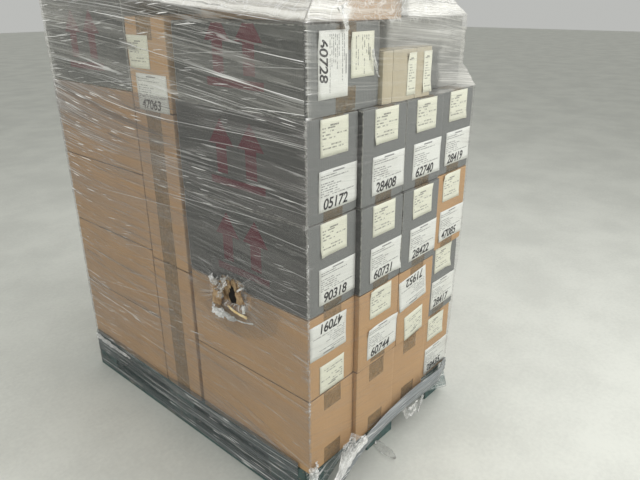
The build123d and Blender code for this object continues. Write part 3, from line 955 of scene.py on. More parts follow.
def film_piece(name, mesh, finish, *nodes, back="inner", slot="stretch_film", thickness=FILM_THICK):
    """Turn a sheet into a piece that has a thickness, and a clear back if it is film."""
    bmesh.ops.recalc_face_normals(mesh, faces=mesh.faces)
    piece = new_piece(name, mesh, [finish, back], slot, *nodes)
    wall = solidify(piece, "film thickness", thickness, 1)
    wall.material_offset = 1
    wall.material_offset_rim = 0
    shade_smooth(piece)
    return piece


def tear_share(y, z):
    """How much the board at a place on the long side is torn: 1 in the slit, 0 well outside the raw patch."""
    ragged = uneven(y * 42, z * 42) * 0.30 + uneven(y * 110, z * 110, 3) * 0.14

    def share(middle, half):
        off = math.hypot((y - FRONT - middle[0]) / half[0], (z - DECK_TOP - middle[1]) / half[1])
        return smooth(1.0 - off + ragged, 0.0, 0.30)

    return max(share(TEAR_MIDDLE, RAW_HALF) * 0.62, share(SLIT_MIDDLE, SLIT_HALF))


def shape_case(mesh, case, marked):
    """Make one closed carton: a cube with rolled folds, a seam between its flaps, and swollen faces."""
    settings = bpy.context.scene.load_board
    edge_layer = mesh.verts.layers.float.new("edge")
    dent_layer = mesh.verts.layers.float.new("dent")
    seam_shade_layer = mesh.verts.layers.float.new("seam")
    uv_layer = mesh.loops.layers.uv.verify()
    width, depth, height = case.size
    bmesh.ops.create_cube(mesh, size=1.0, matrix=Matrix.Translation((0.5, 0.5, 0.5)))
    bmesh.ops.scale(mesh, vec=(width, depth, height), verts=mesh.verts)
    bmesh.ops.bevel(mesh, geom=mesh.edges[:] + mesh.verts[:], offset=FOLD, offset_type="OFFSET", segments=2,
                    profile=0.5, affect="EDGES", material=-1)
    long_edges = [edge for edge in mesh.edges if edge.calc_length() > 0.02]
    tear_z = DECK_TOP + TEAR_MIDDLE[1]
    on_tear = (case.free[0][0] and case.low.y < FRONT + TEAR_MIDDLE[0] < case.high.y
               and case.low.z - TEAR_REACH < tear_z < case.high.z + TEAR_REACH)
    bmesh.ops.subdivide_edges(mesh, edges=long_edges, cuts=FACE_CUTS, use_grid_fill=True)
    cuts = [(0, width / 2 + offset) for offset in (-SEAM, -SEAM * 0.6, SEAM * 0.6, SEAM)]
    cuts += [(axis, place) for axis in range(3) for place in (FOLD_CUT, case.size[axis] - FOLD_CUT)]
    if on_tear:
        middle = (0.0, FRONT + TEAR_MIDDLE[0] - case.low.y, tear_z - case.low.z)
        reach = round(TEAR_REACH / TEAR_CUT)
        steps = [step * TEAR_CUT for step in range(-reach, reach + 1)]
        cuts += [(axis, middle[axis] + step) for axis in (1, 2) for step in steps]
    for axis, place in cuts:
        plane = Vector([float(axis == other) for other in range(3)])
        bmesh.ops.bisect_plane(mesh, geom=mesh.verts[:] + mesh.edges[:] + mesh.faces[:], dist=1e-6,
                               plane_co=plane * place, plane_no=plane)
    for face in mesh.faces:
        normal = [abs(value) for value in face.normal]
        main = normal.index(max(normal))
        face.material_index = 1 if marked and main == 0 and case.axes[0] == 0 else 0
        for loop in face.loops:
            x, y, z = loop.vert.co
            loop[uv_layer].uv = ((y if face.normal.x < 0 else depth - y, z), (x, z), (y, x))[main]
    for vert in mesh.verts:
        local = vert.co.copy()
        walls = sorted(min(local[axis], case.size[axis] - local[axis]) for axis in range(3))
        vert[edge_layer] = walls[1]
        flat = case.to_world(local)
        gaps = [min(flat[axis] - case.low[axis], case.high[axis] - flat[axis]) for axis in range(3)]
        # The seam value is 1 along the top and bottom edges and fades within a fold's width. The board's
        # finish paints shade there.
        vert[seam_shade_layer] = max(0.0, 1 - max(gaps[2], min(gaps[0], gaps[1])) / FOLD)
        if abs(local.x - width / 2) < SEAM * 0.7 and min(local.z, height - local.z) < 1e-4:
            local.z += SEAM_DEPTH if local.z < height / 2 else -SEAM_DEPTH
        world = case.swell(case.to_world(local), settings.swell)
        if on_tear and walls[0] < 0.01 and world.x < case.low.x + 0.01:
            torn = tear_share(world.y, world.z)
            vert[dent_layer] = torn
            world.x += settings.dent * torn * (0.55 + 0.45 * noise.noise(world * 55))
        vert.co = world
    bmesh.ops.recalc_face_normals(mesh, faces=mesh.faces)


class LOAD_OT_cartons(bpy.types.Operator):
    """Build every carton that shows, as folded board with seams, swollen faces and crushed corners"""

    bl_idname = "load.cartons"
    bl_label = "Cartons"

    def execute(self, context):
        for node, cases in CASES.items():
            board = board_of(node)
            mesh = bmesh.new()
            for case in cases:
                single = bmesh.new()
                shape_case(single, case, board == "grey")
                data = to_data("carton", single)
                mesh.from_mesh(data)
                bpy.data.meshes.remove(data)
            materials = [board, "marked"] if board == "grey" else [board]
            piece = new_piece(node.replace("carton", "board", 1), mesh, materials, f"{board}_board", node)
            shade_smooth(piece, 40)
        return {"FINISHED"}


def tape_strip(mesh, case, top):
    """One strip of tape along a seam, with its tails down both ends, pressed on the swollen board."""
    settings = bpy.context.scene.load_board
    width, depth, height = case.size
    length = depth + 2 * TAPE_TAIL
    columns, rows = TAPE_FACES
    for vert in bmesh.ops.create_grid(mesh, x_segments=columns, y_segments=rows, size=0.5)["verts"]:
        across = width / 2 + vert.co.x * TAPE_WIDTH
        run = (vert.co.y + 0.5) * length - TAPE_TAIL
        for fold in (0.0, depth):
            if abs(run - fold) < length / rows / 2:
                run = fold
        ragged = 0.0015 * uneven(across * 300, case.seed.x, run)
        if run < 0:
            local = (across, -TAPE_OUT, height + run + ragged)
        elif run > depth:
            local = (across, depth + TAPE_OUT, height - (run - depth) - ragged)
        else:
            local = (across, run, height + TAPE_OUT)
        if not top:
            local = (local[0], local[1], height - local[2])
        vert.co = case.swell(case.to_world(local), settings.swell)


class LOAD_OT_tape(bpy.types.Operator):
    """Press the closing tape over the seams of every carton"""

    bl_idname = "load.tape"
    bl_label = "Closing tape"

    def execute(self, context):
        for node, top in (("closing_tape_tops", True), ("closing_tape_bottoms", False)):
            mesh = bmesh.new()
            for name, cases in CASES.items():
                if name.startswith("carton_small") or name in ("carton_roof", "carton_top_hidden"):
                    continue
                for case in cases:
                    tape_strip(mesh, case, top)
            piece = new_piece(node.replace("closing_", "brown_"), mesh, ["tape"], "tape", node)
            shade_smooth(piece)
        return {"FINISHED"}


class Label:
    """One paper label: the carton it is on, its place, and how it is turned."""

    KINDS = {"address": (0.152, 0.107), "item": (0.106, 0.092), "strip": (0.044, 0.112)}

    def __init__(self, points):
        self.middle = sum(points, Vector()) / len(points)
        low, high = span(points)
        self.on_side = high.x - low.x < high.y - low.y
        wide = max(points, key=lambda point: (point - self.middle).length)
        reach = 2 * (wide - self.middle).length
        self.kind = min(self.KINDS, key=lambda kind: abs(math.hypot(*self.KINDS[kind]) - reach))
        self.width, self.height = self.KINDS[self.kind]
        extent = high.y - low.y if self.on_side else high.x - low.x
        self.case = min((case for cases in CASES.values() for case in cases), key=self.off)
        up = (self.middle.z - self.case.low.z) / (self.case.high.z - self.case.low.z)
        self.turn = 0.0
        if self.kind != "strip" and high.z - low.z > extent * 1.08:
            self.turn = math.radians(-90)
        else:
            if abs(extent - self.width) > 0.004:
                self.turn += math.radians(6)
            if (self.kind == "address" and up > 0.5) or (self.kind == "item" and up < 0.5):
                self.turn += math.radians(180)

    def off(self, case):
        """How far a carton's box is from the label."""
        return sum(max(case.low[a] - self.middle[a], 0, self.middle[a] - case.high[a]) for a in range(3))

    def place(self, across, up, out):
        """A point on the label's own metres from its middle, pressed on the swollen carton."""
        a, b = turned(across, up, self.turn)
        if self.on_side:
            flat = Vector((self.case.low.x - out, self.middle.y - a, self.middle.z + b))
        else:
            flat = Vector((self.middle.x + a, self.case.low.y - out, self.middle.z + b))
        return self.case.swell(flat, bpy.context.scene.load_board.swell)


def make_labels():
    """Every paper label, from the lowest row up and from left to right."""
    found = [Label(points) for points in islands("paper_labels")]
    return sorted(found, key=lambda label: (round(label.middle.z, 2), label.middle.x))


LABELS = make_labels()


class LOAD_OT_labels(bpy.types.Operator):
    """Stick the paper labels on, with unreadable print, lifted corners and plain numbers on the large ones"""

    bl_idname = "load.labels"
    bl_label = "Labels"

    def execute(self, context):
        self.paper()
        self.numbers(context.scene.load_labels.digit)
        return {"FINISHED"}

    def paper(self):
        """All the sheets of paper, as one piece with a finish for each kind."""
        kinds = list(Label.KINDS)
        mesh = bmesh.new()
        uv_layer = mesh.loops.layers.uv.verify()
        draw = random.Random(7)
        for label in LABELS:
            verts = bmesh.ops.create_grid(mesh, x_segments=10, y_segments=8, size=0.5)["verts"]
            lifts = [draw.choice((0, 0, 0.002, 0.006)) * draw.random() for _ in range(4)]
            shift = draw.random() * 50
            for vert in verts:
                a, b = vert.co.x, vert.co.y
                lay_map(vert, uv_layer, (a + 0.5) * label.width, (b + 0.5) * label.height)
                corner = (a > 0) + 2 * (b > 0)
                lift = lifts[corner] * smooth(abs(a) + abs(b), 0.72, 1.0)
                wave = 0.00035 * (1 + uneven(a * 5, b * 5, shift))
                vert.co = label.place(a * label.width, b * label.height, LABEL_OUT + lift + wave)
            for face in {face for vert in verts for face in vert.link_faces}:
                face.material_index = kinds.index(label.kind)
        bmesh.ops.recalc_face_normals(mesh, faces=mesh.faces)
        piece = new_piece("paper_label_sheets", mesh, kinds, "label_paper", "paper_labels")
        solidify(piece, "paper", PAPER_THICK)
        shade_smooth(piece)

    def numbers(self, tall):
        """A plain slanted number near the foot of each address label."""
        numbers = iter(NUMBERS)
        pieces = bmesh.new()
        for label in LABELS:
            if label.kind != "address":
                continue
            curve = bpy.data.curves.new("number", "FONT")
            curve.body = next(numbers)
            curve.size = tall * 1.36
            curve.shear = 0.18
            curve.offset = 0.0007
            curve.space_character = 0.97
            curve.align_x = "CENTER"
            before = set(pieces.verts)
            pieces.from_mesh(curve_mesh(curve))
            foot = -label.height / 2 + 0.006
            for vert in pieces.verts:
                if vert not in before:
                    vert.co = label.place(vert.co.x - 0.012, vert.co.y + foot, INK_OUT)
        bmesh.ops.remove_doubles(pieces, verts=pieces.verts, dist=1e-6)
        bmesh.ops.recalc_face_normals(pieces, faces=pieces.faces)
        piece = new_piece("plain_numbers", pieces, ["ink"], "label_paper")
        solidify(piece, "ink", INK_THICK)


class LOAD_OT_pallet(bpy.types.Operator):
    """Give the pallet's boards, blocks and runners old paint along their grain, and the hidden core board"""

    bl_idname = "load.pallet"
    bl_label = "Pallet"

    def execute(self, context):
        finishes = {
            "pallet_deck_boards": ("wood_along", "painted_wood"),
            "pallet_cross_boards": ("wood_across", "painted_wood"),
            "pallet_blocks": ("wood_upright", "painted_wood"),
            "pallet_runners": ("wood_along", "painted_wood"),
            "middle_core": ("brown", "brown_board"),
        }
        for node, (finish, slot) in finishes.items():
            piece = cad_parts[node]
            piece.data.materials.clear()
            piece.data.materials.append(material_of(finish))
        return {"FINISHED"}


def plan_corners(z):
    """The film's line round the stack at one height: its corners, anticlockwise from the near one."""
    level = (z - NEAR_CORNER.z) / LAYER_HEIGHT
    lower = min(max(math.floor(level), 0), LAYERS - 1)
    upper = min(lower + 1, LAYERS - 1)
    step = min(0.0, LAST_COLUMN[upper] - LAST_COLUMN[lower])
    return [
        Vector((LEFT, FRONT)),
        Vector((CASES["carton_near_layer1_col2"][0].low.x, PROUDEST)),
        Vector((CASES["carton_near_layer1_col3"][0].high.x, PROUDEST)),
        Vector((RIGHT, LAST_COLUMN[lower] + step * smooth(level - lower, 0.2, 1.0))),
        Vector((RIGHT, BACK)),
        Vector((LEFT, BACK)),
    ]


def wrap_columns(corners, step):
    """Stations round an outline: which side, how far along it, and whether it is on a corner's bend."""
    columns = []
    for side, start in enumerate(corners):
        length = (corners[(side + 1) % len(corners)] - start).length
        count = max(2, round(length / step))
        shares = [index / count for index in range(count + 1)]
        shares += [CORNER_STEP / length, 1 - CORNER_STEP / length]
        columns.append((side, 0.0, True))
        columns += [(side, share, False) for share in sorted(shares)]
    return columns


def outward(corners, side):
    """The direction out of one side of an outline."""
    line = (corners[(side + 1) % len(corners)] - corners[side]).normalized()
    return Vector((line.y, -line.x))


def facing(corners, column):
    """The direction out of an outline at a station. On a bend it is halfway between both sides."""
    side, _, bend = column
    normal = outward(corners, side)
    return (normal + outward(corners, side - 1)).normalized() if bend else normal


def stand(corners, column, gap):
    """The plan point of a station, off the outline by a gap, and the direction out."""
    side, share, _ = column
    normal = facing(corners, column)
    return corners[side].lerp(corners[(side + 1) % len(corners)], share) + normal * gap, normal


def run_lengths(corners, columns):
    """Metres along the outline at each station."""
    places = [stand(corners, column, 0.0)[0] for column in columns]
    runs = [0.0]
    for before, after in zip(places, places[1:]):
        runs.append(runs[-1] + (after - before).length)
    return runs


def at_far_corner(point):
    """How near a place is to the load's left-hand far corner."""
    return smooth(point.y, BACK - 0.06, BACK - 0.01) * smooth(LEFT + 0.02 - point.x, 0.0, 0.01)


def crease_height(run, level, strength):
    """Height of the film's creases: long ridges along the wrap, sharper where it is pulled together."""
    bent = level + 0.010 * uneven(run * 1.7, level * 3, 2.0)
    wide = uneven(run * 1.1, bent * 24, 5.0)
    narrow = 1 - abs(uneven(run * 1.9, bent * 62, 11.0)) * 2.2
    fine = 1 - abs(uneven(run * 2.6, bent * 118, 19.0)) * 2.4
    patch = smooth(uneven(run * 2.2, level * 4.5, 40.0), -0.35, 0.45)
    ridge = max(0.0, narrow) ** 3 * 0.9 + max(0.0, fine) ** 3 * 0.55
    return strength * (0.35 * wide + ridge * (0.25 + 0.75 * patch))


def film_look(point):
    """How creased and how milky the wrap is at a place: most on the long side's far end and near the top."""
    on_left = smooth(LEFT + 0.001 - point.x, 0.0, 0.003)
    on_front = smooth(point.y, FRONT + 0.02, FRONT - 0.003) * (1 - on_left)
    high = smooth(point.z, UPPER_Z - 0.50, UPPER_Z + 0.1)
    far = smooth(point.y, FRONT + 0.45, BACK)
    pull = 0.66 + 0.34 * max(high, far)
    strip = smooth(0.13 - abs(point.y - FRONT - MIDDLE_STRIP), 0.0, 0.05)
    milk = 0.21 + 0.09 * high + 0.22 * high * max(far, strip) + 0.06 * far
    return pull * (1 - on_front) + on_front * 0.20, milk * (1 - on_front) + on_front * 0.05


class LOAD_OT_wrap(bpy.types.Operator):
    """Pull the stretch film round the four layers, creased along the wrap and torn on the long side"""

    bl_idname = "load.wrap"
    bl_label = "Film wrap"

    def execute(self, context):
        film = context.scene.load_film
        corners = plan_corners(FILM_LOW)
        columns = wrap_columns(corners, film.step)
        runs = run_lengths(corners, columns)
        rows = film.rows
        mesh = bmesh.new()
        uv_layer, pull_layer, milk_layer, crumple_layer = film_layers(mesh)
        last = len(columns)
        bmesh.ops.create_grid(mesh, x_segments=last, y_segments=rows, size=0.5)
        height = UPPER_Z - FILM_LOW
        for vert in mesh.verts:
            index, row = round((vert.co.x + 0.5) * last), round((vert.co.y + 0.5) * rows)
            column = columns[index % last]
            run = runs[index] if index < last else runs[-1] + 0.001
            level = row / rows * height
            slope = 0.055 * math.cos(2 * math.pi * (run - 0.4) / runs[-1])
            window = smooth(level, 0.0, 0.14) * smooth(height - level, 0.0, 0.14)
            z = FILM_LOW + level + slope * window
            flat, normal = stand(plan_corners(z), column, film.gap)
            wave = crease_height(run, level, film.crease) * (0.3 if column[2] else 1.0)
            pull, milk = film_look(Vector((flat.x, flat.y, z)))
            wave *= 0.2 + 0.8 * pull
            place = Vector((flat.x + normal.x * wave, flat.y + normal.y * wave, z))
            torn = tear_share(place.y, place.z) if place.x < LEFT else 0.0
            place.x -= 0.004 * torn
            vert.co = place
            # Down the near corner the film is painted milky and crumpled: partly its fold round the corner,
            # partly a painted highlight along the corner.
            fold = smooth(film.gap + 0.0009 - math.hypot(place.x - LEFT, place.y - FRONT), 0.0, 0.0006)
            ragged = 0.55 + 0.45 * uneven(z * 30, 0, 6)
            high = smooth(place.z, UPPER_Z - 0.45, UPPER_Z)
            calm = 1 - smooth(place.z, UPPER_Z - 0.42, UPPER_Z - 0.15)
            vert[pull_layer] = min(1.0, pull + 0.2 * torn) * (1 - 0.3 * fold) * (1 - 0.34 * calm)
            vert[milk_layer] = milk + 0.40 * fold * ragged
            vert[crumple_layer] = 0.62 * fold * ragged + 0.45 * at_far_corner(place) * high
            lay_map(vert, uv_layer, run, level)
        doomed = [face for face in mesh.faces if self.in_tear(face.calc_center_median())]
        bmesh.ops.delete(mesh, geom=doomed, context="FACES")
        bmesh.ops.remove_doubles(mesh, verts=mesh.verts, dist=1e-5)
        piece = film_piece("film_wrap_sheet", mesh, "wrap", "film_wrap")
        return {"FINISHED"}

    def in_tear(self, point):
        """Whether a place on the wrap is in its torn hole."""
        return point.x < LEFT + 0.002 and inside(TEAR, point.y - FRONT, point.z - DECK_TOP)


def ring_points(corners, columns, gap):
    """Points of one ring of the top film, in space."""
    plan = [corner.to_2d() for corner in corners]
    points = []
    for column in columns:
        side, share, _ = column
        point = corners[side].lerp(corners[(side + 1) % len(corners)], share)
        points.append(point + facing(plan, column).to_3d() * gap)
    return points


def top_rings():
    """Corner rings of the film over the upper layer, from its foot to the top carton's top."""
    turned_low, turned_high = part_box("carton_top_turned")
    small_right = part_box("carton_small_3")[1].x
    far_low, far_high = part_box("carton_far_layer5_left")
    roof_low, roof_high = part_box("carton_roof")
    column_two = CASES["carton_near_layer1_col2"][0].low.x
    foot = [
        (LEFT, FRONT), (column_two, PROUDEST), (small_right, PROUDEST), (RIGHT, LAST_COLUMN[-1]),
        (RIGHT, far_low.y), (RIGHT, BACK), (LEFT, BACK), (LEFT, far_low.y),
    ]
    ledge = list(foot)
    ledge[3] = (RIGHT, turned_low.y)
    eaves = [turned_high.z + CLEAR_OF_BOARD] * 4 + [far_high.z + CLEAR_OF_BOARD] * 4
    third = (roof_high.x - roof_low.x) / 3
    middle_y = (roof_low.y + roof_high.y) / 2
    roof = [
        (roof_low.x, roof_low.y), (roof_low.x + third, roof_low.y), (roof_high.x - third, roof_low.y),
        (roof_high.x, roof_low.y), (roof_high.x, middle_y), (roof_high.x, roof_high.y),
        (roof_low.x, roof_high.y), (roof_low.x, middle_y),
    ]
    return [
        [Vector((x, y, UPPER_Z)) for x, y in foot],
        [Vector((x, y, UPPER_Z + 0.065)) for x, y in ledge],
        [Vector((x, y, z)) for (x, y), z in zip(ledge, eaves)],
        [Vector((x, y, roof_high.z + CLEAR_OF_BOARD)) for x, y in roof],
    ]


class LOAD_OT_top(bpy.types.Operator):
    """Drape the milky film over the upper layers, creased at the eaves and drawn over the top carton"""

    bl_idname = "load.top"
    bl_label = "Film top"

    ROWS = (14, 34, 44)

    def execute(self, context):
        film = context.scene.load_film
        rings = top_rings()
        plan = [corner.to_2d() for corner in rings[0]]
        columns = wrap_columns(plan, TOP_STEP)
        last = len(columns)
        runs = run_lengths(plan, columns)
        levels = [ring_points(ring, columns, film.gap) for ring in rings]
        total = sum(self.ROWS)
        eave = rings[2][0].z
        places = (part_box("carton_top_lying")[1].x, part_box("carton_small_1")[1].z,
                  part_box("carton_small_3")[1].x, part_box("carton_roof"))
        mesh = bmesh.new()
        uv_layer, pull_layer, milk_layer, crumple_layer = film_layers(mesh)
        bmesh.ops.create_grid(mesh, x_segments=last, y_segments=total, size=0.5)
        for vert in mesh.verts:
            index, row = round((vert.co.x + 0.5) * last), round((vert.co.y + 0.5) * total)
            column = index % last
            band = 0
            while band < len(self.ROWS) - 1 and row > self.ROWS[band]:
                row -= self.ROWS[band]
                band += 1
            share = row / self.ROWS[band]
            point = levels[band][column].lerp(levels[band + 1][column], share)
            up = point.z - UPPER_Z
            out = Vector((point.x, point.y - (FRONT + BACK) / 2, 0)).normalized()
            if band == 2:
                out = Vector((0, 0, 1))
                point.z -= 0.010 * math.sin(math.pi * share)
            crumple = noise.noise(point * 16) * 0.004 + crest(noise.noise(point * 34)) * 0.006
            creases = crease_height(runs[column], up, film.crease * 1.6)
            if band == 2:
                creases *= 1 - smooth(share, 0.8, 1.0)
            vert.co = point + out * (max(0.0, crumple) * smooth(up, 0.0, 0.05) + creases)
            vert[pull_layer], vert[milk_layer] = self.look(point, band, share, places)
            beside = 0.85 * smooth(point.x, LEFT + 0.02, LEFT + 0.001) * (band < 2)
            vert[crumple_layer] = max(0.45 * at_far_corner(point) * (band < 2),
                                      0.30 * (1 - beside) * smooth(point.z, eave - 0.03, eave + 0.02))
            lay_map(vert, uv_layer, runs[column], up + (share * 0.3 if band == 2 else 0))
        bmesh.ops.remove_doubles(mesh, verts=mesh.verts, dist=1e-5)
        rim = [edge for edge in mesh.edges if edge.is_boundary and edge.verts[0].co.z > UPPER_Z + 0.2]
        bmesh.ops.holes_fill(mesh, edges=rim, sides=0)
        bmesh.ops.triangulate(mesh, faces=[face for face in mesh.faces if len(face.verts) > 4])
        slant = max((upper - lower).length for lower, upper in zip(levels[2], levels[3]))
        area = sum(face.calc_area() for face in mesh.faces)
        piece = film_piece("film_top_sheet", mesh, "top", "film_top")
        return {"FINISHED"}

    def look(self, point, band, share, places):
        """How creased and how milky the film is over the upper cartons."""
        lying_end, small_top, small_end, (low, high) = places
        if band == 2:
            face = (smooth(point.y, FRONT + 0.07, FRONT + 0.03) * smooth(point.x, low.x, low.x + 0.03)
                    * smooth(point.x, high.x, high.x - 0.03))
            return 0.85 - 0.5 * face, (0.68 + 0.26 * smooth(share, 0.0, 0.12)) * (1 - 0.6 * face)
        on_left = smooth(point.x, LEFT + 0.02, LEFT + 0.001)
        on_front = smooth(point.y, FRONT + 0.11, FRONT + 0.05) * (1 - on_left)
        beyond = smooth(point.x, lying_end - 0.02, lying_end + 0.01)
        above = smooth(point.z, small_top - 0.02, small_top + 0.015)
        past = smooth(point.x, small_end, small_end + 0.05)
        front_milk = 0.05 + beyond * (0.08 + 0.26 * max(above, past))
        far = smooth(point.y, FRONT + 0.45, BACK)
        milk = 0.15 + 0.18 * far
        return 1.0 - 0.78 * on_front, front_milk * on_front + milk * (1 - on_front)


class LOAD_OT_skirts(bpy.types.Operator):
    """Hang the film's foot over the pallet's long sides, rippled and gathered at its upper edge"""

    bl_idname = "load.skirts"
    bl_label = "Film skirts"

    def execute(self, context):
        for side, node in ((-1, "film_skirt_left"), (1, "film_skirt_right")):
            low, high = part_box(node)
            mesh = bmesh.new()
            uv_layer, pull_layer, milk_layer, _ = film_layers(mesh)
            bmesh.ops.create_grid(mesh, x_segments=SKIRT_FACES[0], y_segments=SKIRT_FACES[1], size=0.5)
            outer = max(abs(low.x), abs(high.x)) + 0.001
            inner = abs(LEFT) + bpy.context.scene.load_film.gap - 0.001
            for vert in mesh.verts:
                along, share = vert.co.x + 0.5, vert.co.y + 0.5
                y = low.y + along * (high.y - low.y)
                z = low.z + share * (high.z - low.z)
                stand_off = inner + (outer - inner) * smooth(z, high.z, DECK_TOP)
                under = smooth(DECK_TOP - z, 0.0, 0.06)
                ripple = uneven(y * 1.1, z * 46, side * 7) * 0.0022
                fold = crest(uneven(y * 1.4, z * 95, side * 3)) * 0.0026
                hem = smooth(z, DECK_TOP - 0.02, high.z) * max(0, uneven(y * 5, z * 160, 1)) * 0.005
                drawn = -0.003 * under * abs(uneven(y * 2, 0, side))
                vert.co = (side * (stand_off + ripple + fold + hem + drawn), y, z + ripple * 0.5)
                rise = smooth(z, DECK_TOP - 0.01, high.z)
                pleat = uneven(y * 0.5, z * 58, side * 5 + 20)
                far_hem = smooth(y, BACK - 0.35, BACK) * smooth(z, DECK_TOP - 0.03, DECK_TOP)
                vert[pull_layer] = 0.50 + 0.50 * far_hem
                vert[milk_layer] = 0.62 + 0.75 * pleat - 0.25 * rise * (1 - far_hem)
                lay_map(vert, uv_layer, y, z)
            piece = film_piece(f"{node}_sheet", mesh, "skirt", node)
        self.hem()
        return {"FINISHED"}

    def hem(self):
        """The bright gathered edge of the film at the far end of the left side."""
        gap = bpy.context.scene.load_film.gap

        def place(a, b, fold):
            share = a + 0.5
            rise = -0.006 + 0.004 * share + b * 0.030 * (0.25 + 0.75 * share)
            off = gap + 0.003 + max(0.0, fold)
            return Vector((LEFT - off, FRONT + 0.955 + 0.255 * share, DECK_TOP + rise))

        mesh = bmesh.new()
        crumpled_patch(mesh, (0.255, 0.03), place, 61.0, 0.010, 60, 0.50, 3.4)
        film_piece("film_hem_gather", mesh, "bunched")


def tube_through(mesh, stations):
    """A closed tube of film through rings of equally many points, grown one ring at a time."""
    ring = bmesh.ops.create_circle(mesh, cap_ends=False, radius=1.0, segments=len(stations[0]))["verts"]
    for vert, point in zip(ring, stations[0]):
        vert.co = point
    edges = first_edges = mesh.edges[:]
    for points in stations[1:]:
        grown = bmesh.ops.extrude_edge_only(mesh, edges=edges)["geom"]
        after = {}
        for vert in grown:
            if isinstance(vert, bmesh.types.BMVert):
                after.update((edge.other_vert(vert), vert) for edge in vert.link_edges)
        ring = [after[vert] for vert in ring]
        for vert, point in zip(ring, points):
            vert.co = point
        edges = [part for part in grown if isinstance(part, bmesh.types.BMEdge)
                 and part.verts[0] in ring and part.verts[1] in ring]
    bmesh.ops.holes_fill(mesh, edges=first_edges + edges, sides=0)


def smooth_route(points, count):
    """Even stations along a smooth line near some corner points."""
    curve = bpy.data.curves.new("route", "CURVE")
    curve.dimensions = "3D"
    spline = curve.splines.new("NURBS")
    spline.points.add(len(points) - 1)
    for knot, point in zip(spline.points, points):
        knot.co = (*point, 1.0)
    spline.order_u = 3
    spline.use_endpoint_u = True
    spline.resolution_u = 24
    places = [vert.co.copy() for vert in curve_mesh(curve).vertices]
    runs = [0.0]
    for before, after in zip(places, places[1:]):
        runs.append(runs[-1] + (after - before).length)
    even, index = [], 0
    for step in range(count + 1):
        run = runs[-1] * step / count
        while index < len(runs) - 2 and runs[index + 1] < run:
            index += 1
        share = (run - runs[index]) / max(runs[index + 1] - runs[index], 1e-9)
        even.append(places[index].lerp(places[index + 1], share))
    return even


class LOAD_OT_band(bpy.types.Operator):
    """Gather the film's hem into a flat, many-folded band that rises from the floor across the front"""

    bl_idname = "load.band"
    bl_label = "Gathered hem"

    def execute(self, context):
        low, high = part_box("film_front_band")
        y = (low.y + high.y) / 2
        route = [Vector((LEFT + inwards, y, DECK_TOP + up)) for inwards, up in BAND_RISE]
        route += [Vector((RIGHT - inwards, y, DECK_TOP + up)) for inwards, up in BAND_RUN]
        line = smooth_route(route, BAND_STEPS)
        stations = []
        for index, middle in enumerate(line):
            ahead = line[min(index + 1, len(line) - 1)] - line[max(index - 1, 0)]
            along = ahead.normalized()
            across = along.cross(Vector((0, 1, 0))).normalized()
            run = index / len(line)
            tall = 0.024 + 0.004 * uneven(run * 5) + 0.006 * smooth(run, 0.3, 0.9)
            thick = 0.0050 + 0.002 * uneven(run * 6, 3)
            points = []
            for step in range(BAND_AROUND):
                angle = 2 * math.pi * step / BAND_AROUND
                fold = 1 + 0.34 * crest(uneven(math.cos(angle) * 6, math.sin(angle) * 6, run * 3.4))
                pleat = 1 + 0.20 * math.sin(angle * 11 + 4 * uneven(run * 4, 9))
                a = math.cos(angle) * tall * (0.85 + 0.15 * fold)
                b = math.sin(angle) * thick * fold * pleat
                points.append(middle - across * a + Vector((0, b, 0)))
            drawn = Vector((-0.3, 1.0, 0.0)) * 0.034 * smooth(run, 0.84, 1.0)
            stations.append([above_floor(point + drawn) for point in points])
        mesh = bmesh.new()
        uv_layer, pull_layer, milk_layer, _ = film_layers(mesh)
        tube_through(mesh, stations)
        for vert in mesh.verts:
            vert[pull_layer] = 0.55
            vert[milk_layer] = 0.97
            lay_map(vert, uv_layer, vert.co.x, vert.co.z + vert.co.y)
        bmesh.ops.recalc_face_normals(mesh, faces=mesh.faces)
        shade_smooth(new_piece("film_hem_band", mesh, ["band"], "stretch_film", "film_front_band"))
        self.bunch(line)
        self.web()
        return {"FINISHED"}

    def bunch(self, line):
        """The bright crumpled part of the hem, above the band where it leaves the floor."""
        first, last = 4, 47
        across = (line[last] - line[first]).cross(Vector((0, 1, 0))).normalized()

        def place(a, b, fold):
            index = first + (a + 0.5) * (last - first)
            low = line[int(index)].lerp(line[min(int(index) + 1, last)], index - int(index))
            share = a + 0.5
            tall = 0.030 + 0.070 * smooth(share, 0.25, 0.72) - 0.055 * smooth(share, 0.78, 1.0)
            ragged = 1 + 0.25 * uneven(share * 9, 2, 7) * (b > 0)
            out = 0.003 + max(0.0, fold) + 0.005 * math.cos(b * math.pi)
            return above_floor(low + across * (0.016 + (b + 0.5) * tall * ragged) - Vector((0, out, 0)))

        mesh = bmesh.new()
        crumpled_patch(mesh, (0.26, 0.08), place, 5.3, 0.012, 70, 0.70, 3.8)
        _, pull_layer, milk_layer, _ = film_layers(mesh)
        for vert in mesh.verts:
            upper = smooth(vert.co.z, DECK_TOP - 0.005, DECK_TOP + 0.055)
            vert[milk_layer] *= 1 - 0.85 * upper
            vert[pull_layer] *= 1 - 0.4 * upper
        film_piece("film_hem_bunch", mesh, "bunched")

    def web(self):
        """Film stretched between the cartons' bottoms and the band, at both of its ends."""
        mesh = bmesh.new()
        for start, end, feet in WEBS:
            def place(a, b, fold, start=start, end=end, feet=feet):
                share, rise = a + 0.5, b + 0.5
                low = feet[0] + (feet[1] - feet[0]) * share
                x = LEFT + start + (end - start) * share
                y = FRONT + 0.022 - 0.030 * (1 - rise) + fold
                return Vector((x, y, DECK_TOP + low + (WEB_TOP - low) * rise))

            crumpled_patch(mesh, (end - start, 0.1), place, start * 9, 0.005, 30, 0.62, 1.4)
        film_piece("film_hem_web", mesh, "web")


